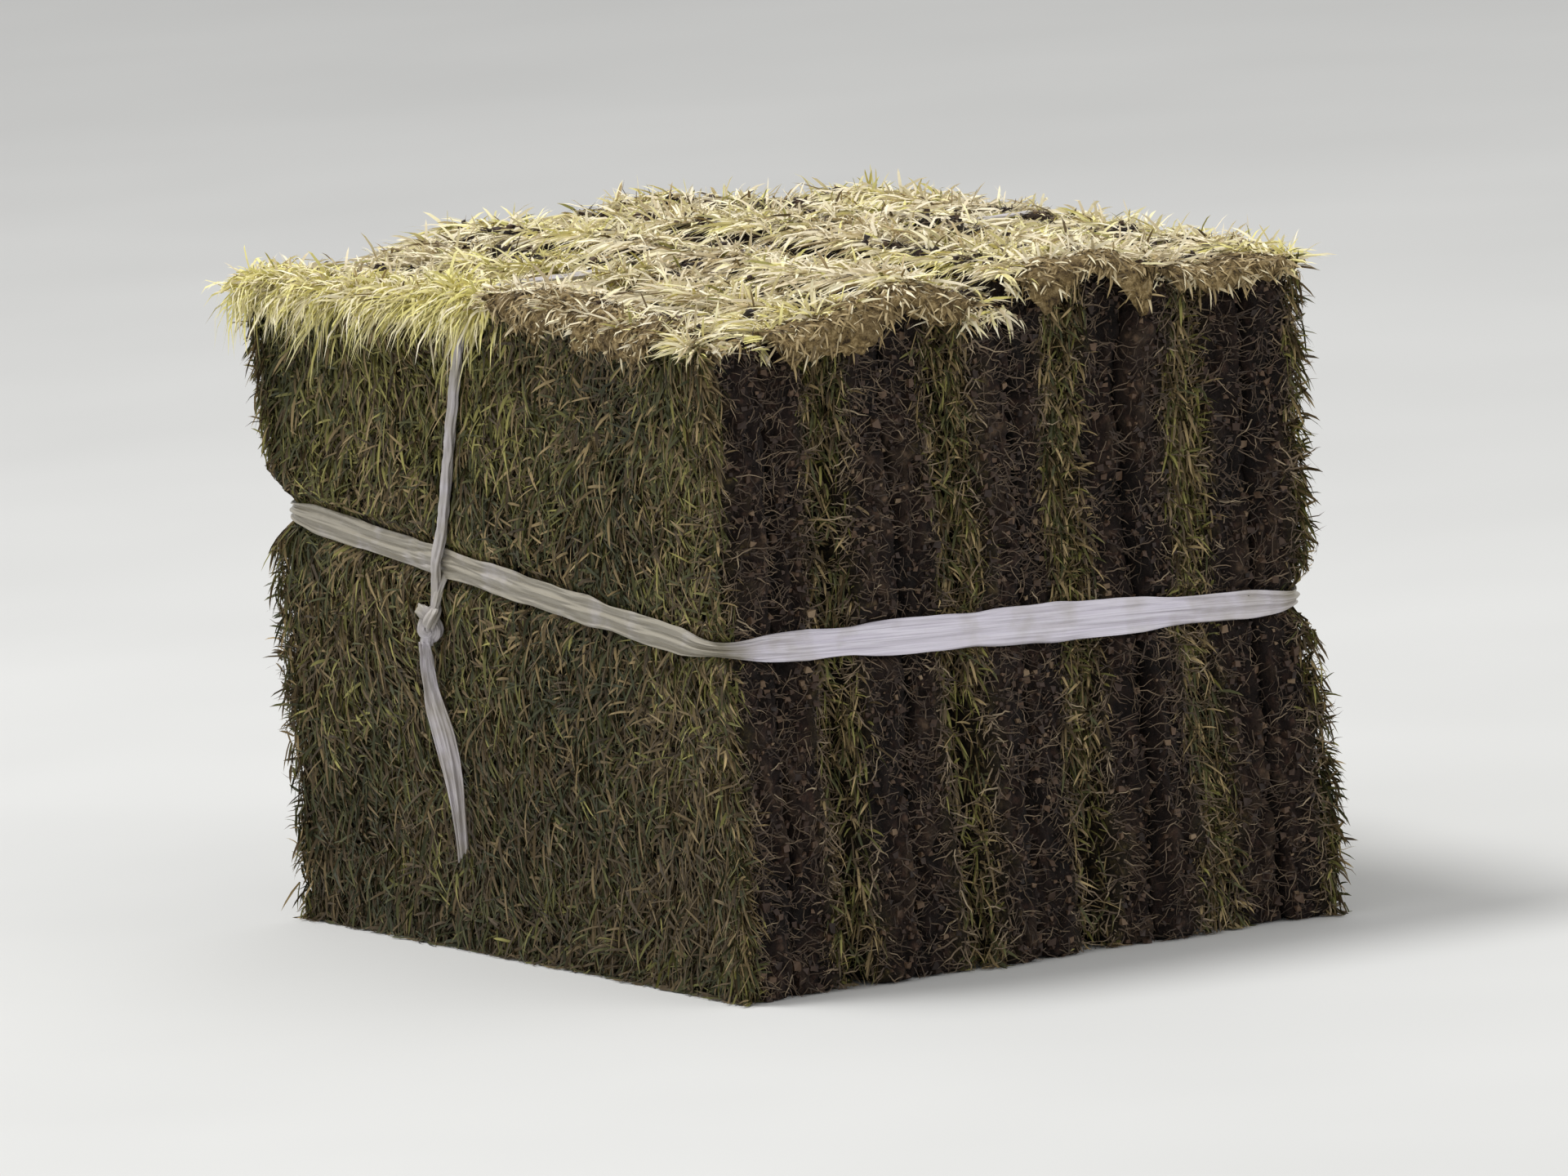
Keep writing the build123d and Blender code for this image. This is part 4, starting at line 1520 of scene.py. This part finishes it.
# %% Draw the lines of the knots
KNOT_HALF_DEPTH = 2.3
KNOT_HALF_WIDTH = 5.2
KNOT_HALF_HEIGHT = 6.2


def knot_line(centre, side):
    """An overhand knot drawn tight: the closed three-lobed curve whose places are sin t plus
    2 sin 2t, cos t minus 2 cos 2t and minus sin 3t, squeezed to the knot's size and laid
    against the face."""
    t = np.linspace(0, 2 * np.pi, 200)
    wide = (np.sin(t) + 2 * np.sin(2 * t)) / 3
    high = (np.cos(t) - 2 * np.cos(2 * t)) / 3
    place = (
        centre[0] - side * KNOT_HALF_DEPTH * np.sin(3 * t),
        centre[1] + KNOT_HALF_WIDTH * wide,
        centre[2] + KNOT_HALF_HEIGHT * high,
    )
    rays = unit(np.stack((0 * t + 2.2 * side, wide, high), -1))
    return np.stack(place, -1), rays


def short_line(knot, side):
    """The strand that goes up from the knot and under the belt: from the knot's front shoulder
    to behind the belt's lower edge."""
    low = np.array((knot[0] - side * 1.0, knot[1] - 3.0, knot[2] + 4.0))
    belt_low = belt_z(knot[0], knot[1]) - belt_half_width(knot[0], knot[1])
    high = np.array((side * (BELT_X - 1.6), knot[1] - 11.0, belt_low + 5.0))
    way = np.linspace(0, 1, 24)[:, None]
    line = low + (high - low) * way + np.array((side * 1.2, 0, 0)) * np.sin(np.pi * way)
    return line, np.tile((float(side), 0.0, 0.0), (24, 1))


print("the left knot is", np.ptp(knot_line(KNOTS[0], -1)[0], axis=0).round(1), "mm large")

# %% Tie the knots
KNOT_STEP = 0.8
for number, (knot, side) in enumerate(zip(KNOTS, (-1, 1))):
    line, rays = knot_line(knot, side)
    knot_run, line, rays = respaced(line, KNOT_STEP, rays, looped=True)
    turn = {"wide": 2.6, "thick": 1.9, "seed": 80 + 7 * number}
    strap_parts.append(strand(line, unit(rays), knot_run, **turn, dust=STRAP_DUST, looped=True))
    line, rays = short_line(knot, side)
    run = np.linspace(0, 20, 24)
    short = {"wide": 2.2, "thick": 1.0, "seed": 95 + number}
    strap_parts.append(strand(line, rays, run, **short, dust=STRAP_DUST))
# The loose end comes out of the left knot gathered.
way = np.linspace(0, 1, 14)[:, None]
line = KNOTS[0] + way * (tail_line[1] - KNOTS[0])
rays = np.tile(tail_out[0], (14, 1))
out_of_knot = strand(line, rays, 10 * way[:, 0], wide=2.7, thick=1.5, seed=99, dust=STRAP_DUST)
strap_parts.append(out_of_knot)
second_tape = film_piece("second_tape", strap_parts)
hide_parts("tape_cross")
print("the second tape is made of", len(strap_parts), "strands")

# %% [markdown]
# ## The floor and the light
#
# A plain pale floor and soft light let the part speak. The world gives an even light from all
# round, one large lamp from the upper left gives the forms their shade, and a weaker one fills
# the front. The camera sees the world as white, but the part is lit by less than that, so pale
# straw and film don't burn out.

# %% Lay the floor
floor_material, tree = new_tree("pale_matt_floor")
place = add_node(tree, "ShaderNodeTexCoord", out="Object")
# The mottle is a third of a metre across, and so weak that it hardly shows.
mottle = add_node(tree, "ShaderNodeTexNoise", {"Vector": place, "Scale": 3.0, "Detail": 2.0})
pale = add_node(tree, "ShaderNodeValToRGB", {"Fac": mottle}, stops=((0.3, "d2d2d0"), (0.7, "d8d8d6")))
finish_material(tree, {"Base Color": pale, "Roughness": 0.9, "Specular IOR Level": 0.2})

# It reaches so far that the camera never sees its edge.
floor_half = 14.0
floor_mesh = bpy.data.meshes.new("floor")
floor_corners = [(x * floor_half, y * floor_half, 0) for x, y in ((-1, -1), (1, -1), (1, 1), (-1, 1))]
floor_mesh.from_pydata(floor_corners, [], [(0, 1, 2, 3)])
floor_mesh.materials.append(floor_material)
floor = bpy.data.objects.new("floor", floor_mesh)
bpy.context.scene.collection.objects.link(floor)
print("the floor is", 2 * floor_half, "m wide")

# %% Light the world
WORLD_LEVEL = 0.6
world = bpy.data.worlds.new("studio")
world.use_nodes = True
tree = world.node_tree
tree.nodes.clear()
ray = add_node(tree, "ShaderNodeLightPath").node.outputs
shown = {0: ray["Is Camera Ray"], 1: ray["Is Glossy Ray"]}
shown = add_node(tree, "ShaderNodeMath", shown, operation="MAXIMUM")
shown = {0: shown, 1: ray["Is Transmission Ray"]}
shown = add_node(tree, "ShaderNodeMath", shown, operation="MAXIMUM")
level = add_node(tree, "ShaderNodeMapRange", {"Value": shown, "To Min": WORLD_LEVEL, "To Max": 1.0})
sky = add_node(tree, "ShaderNodeBackground", {"Color": linear("ffffff"), "Strength": level})
add_node(tree, "ShaderNodeOutputWorld", {"Surface": sky})
bpy.context.scene.world = world
print("the world lights with", WORLD_LEVEL, "of the white that the camera sees")

# %% Set up the lamps
# Each has a name, a place in metres, its size in metres and its power in watts.
LAMPS = (("key", (-1.0, 0.6, 3.4), 1.2, 80), ("fill", (1.2, -3.0, 1.8), 2.4, 26))
for name, at, size, power in LAMPS:
    lamp_data = bpy.data.lights.new(name, "AREA")
    lamp_data.shape = "DISK"
    lamp_data.size = size
    lamp_data.energy = power
    lamp = bpy.data.objects.new(name, lamp_data)
    lamp.location = at
    lamp.rotation_euler = (Vector((0, 0, 0.12)) - Vector(at)).to_track_quat("-Z", "Y").to_euler()
    bpy.context.scene.collection.objects.link(lamp)

bpy.context.scene.view_settings.view_transform = "Standard"
print("the stage is set")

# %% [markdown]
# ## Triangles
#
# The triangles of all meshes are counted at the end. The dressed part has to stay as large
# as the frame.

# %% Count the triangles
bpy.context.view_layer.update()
meshes = [item.data for item in bpy.context.scene.objects if item.type == "MESH"]
print("triangles:", sum(len(mesh.loops) - 2 * len(mesh.polygons) for mesh in meshes))
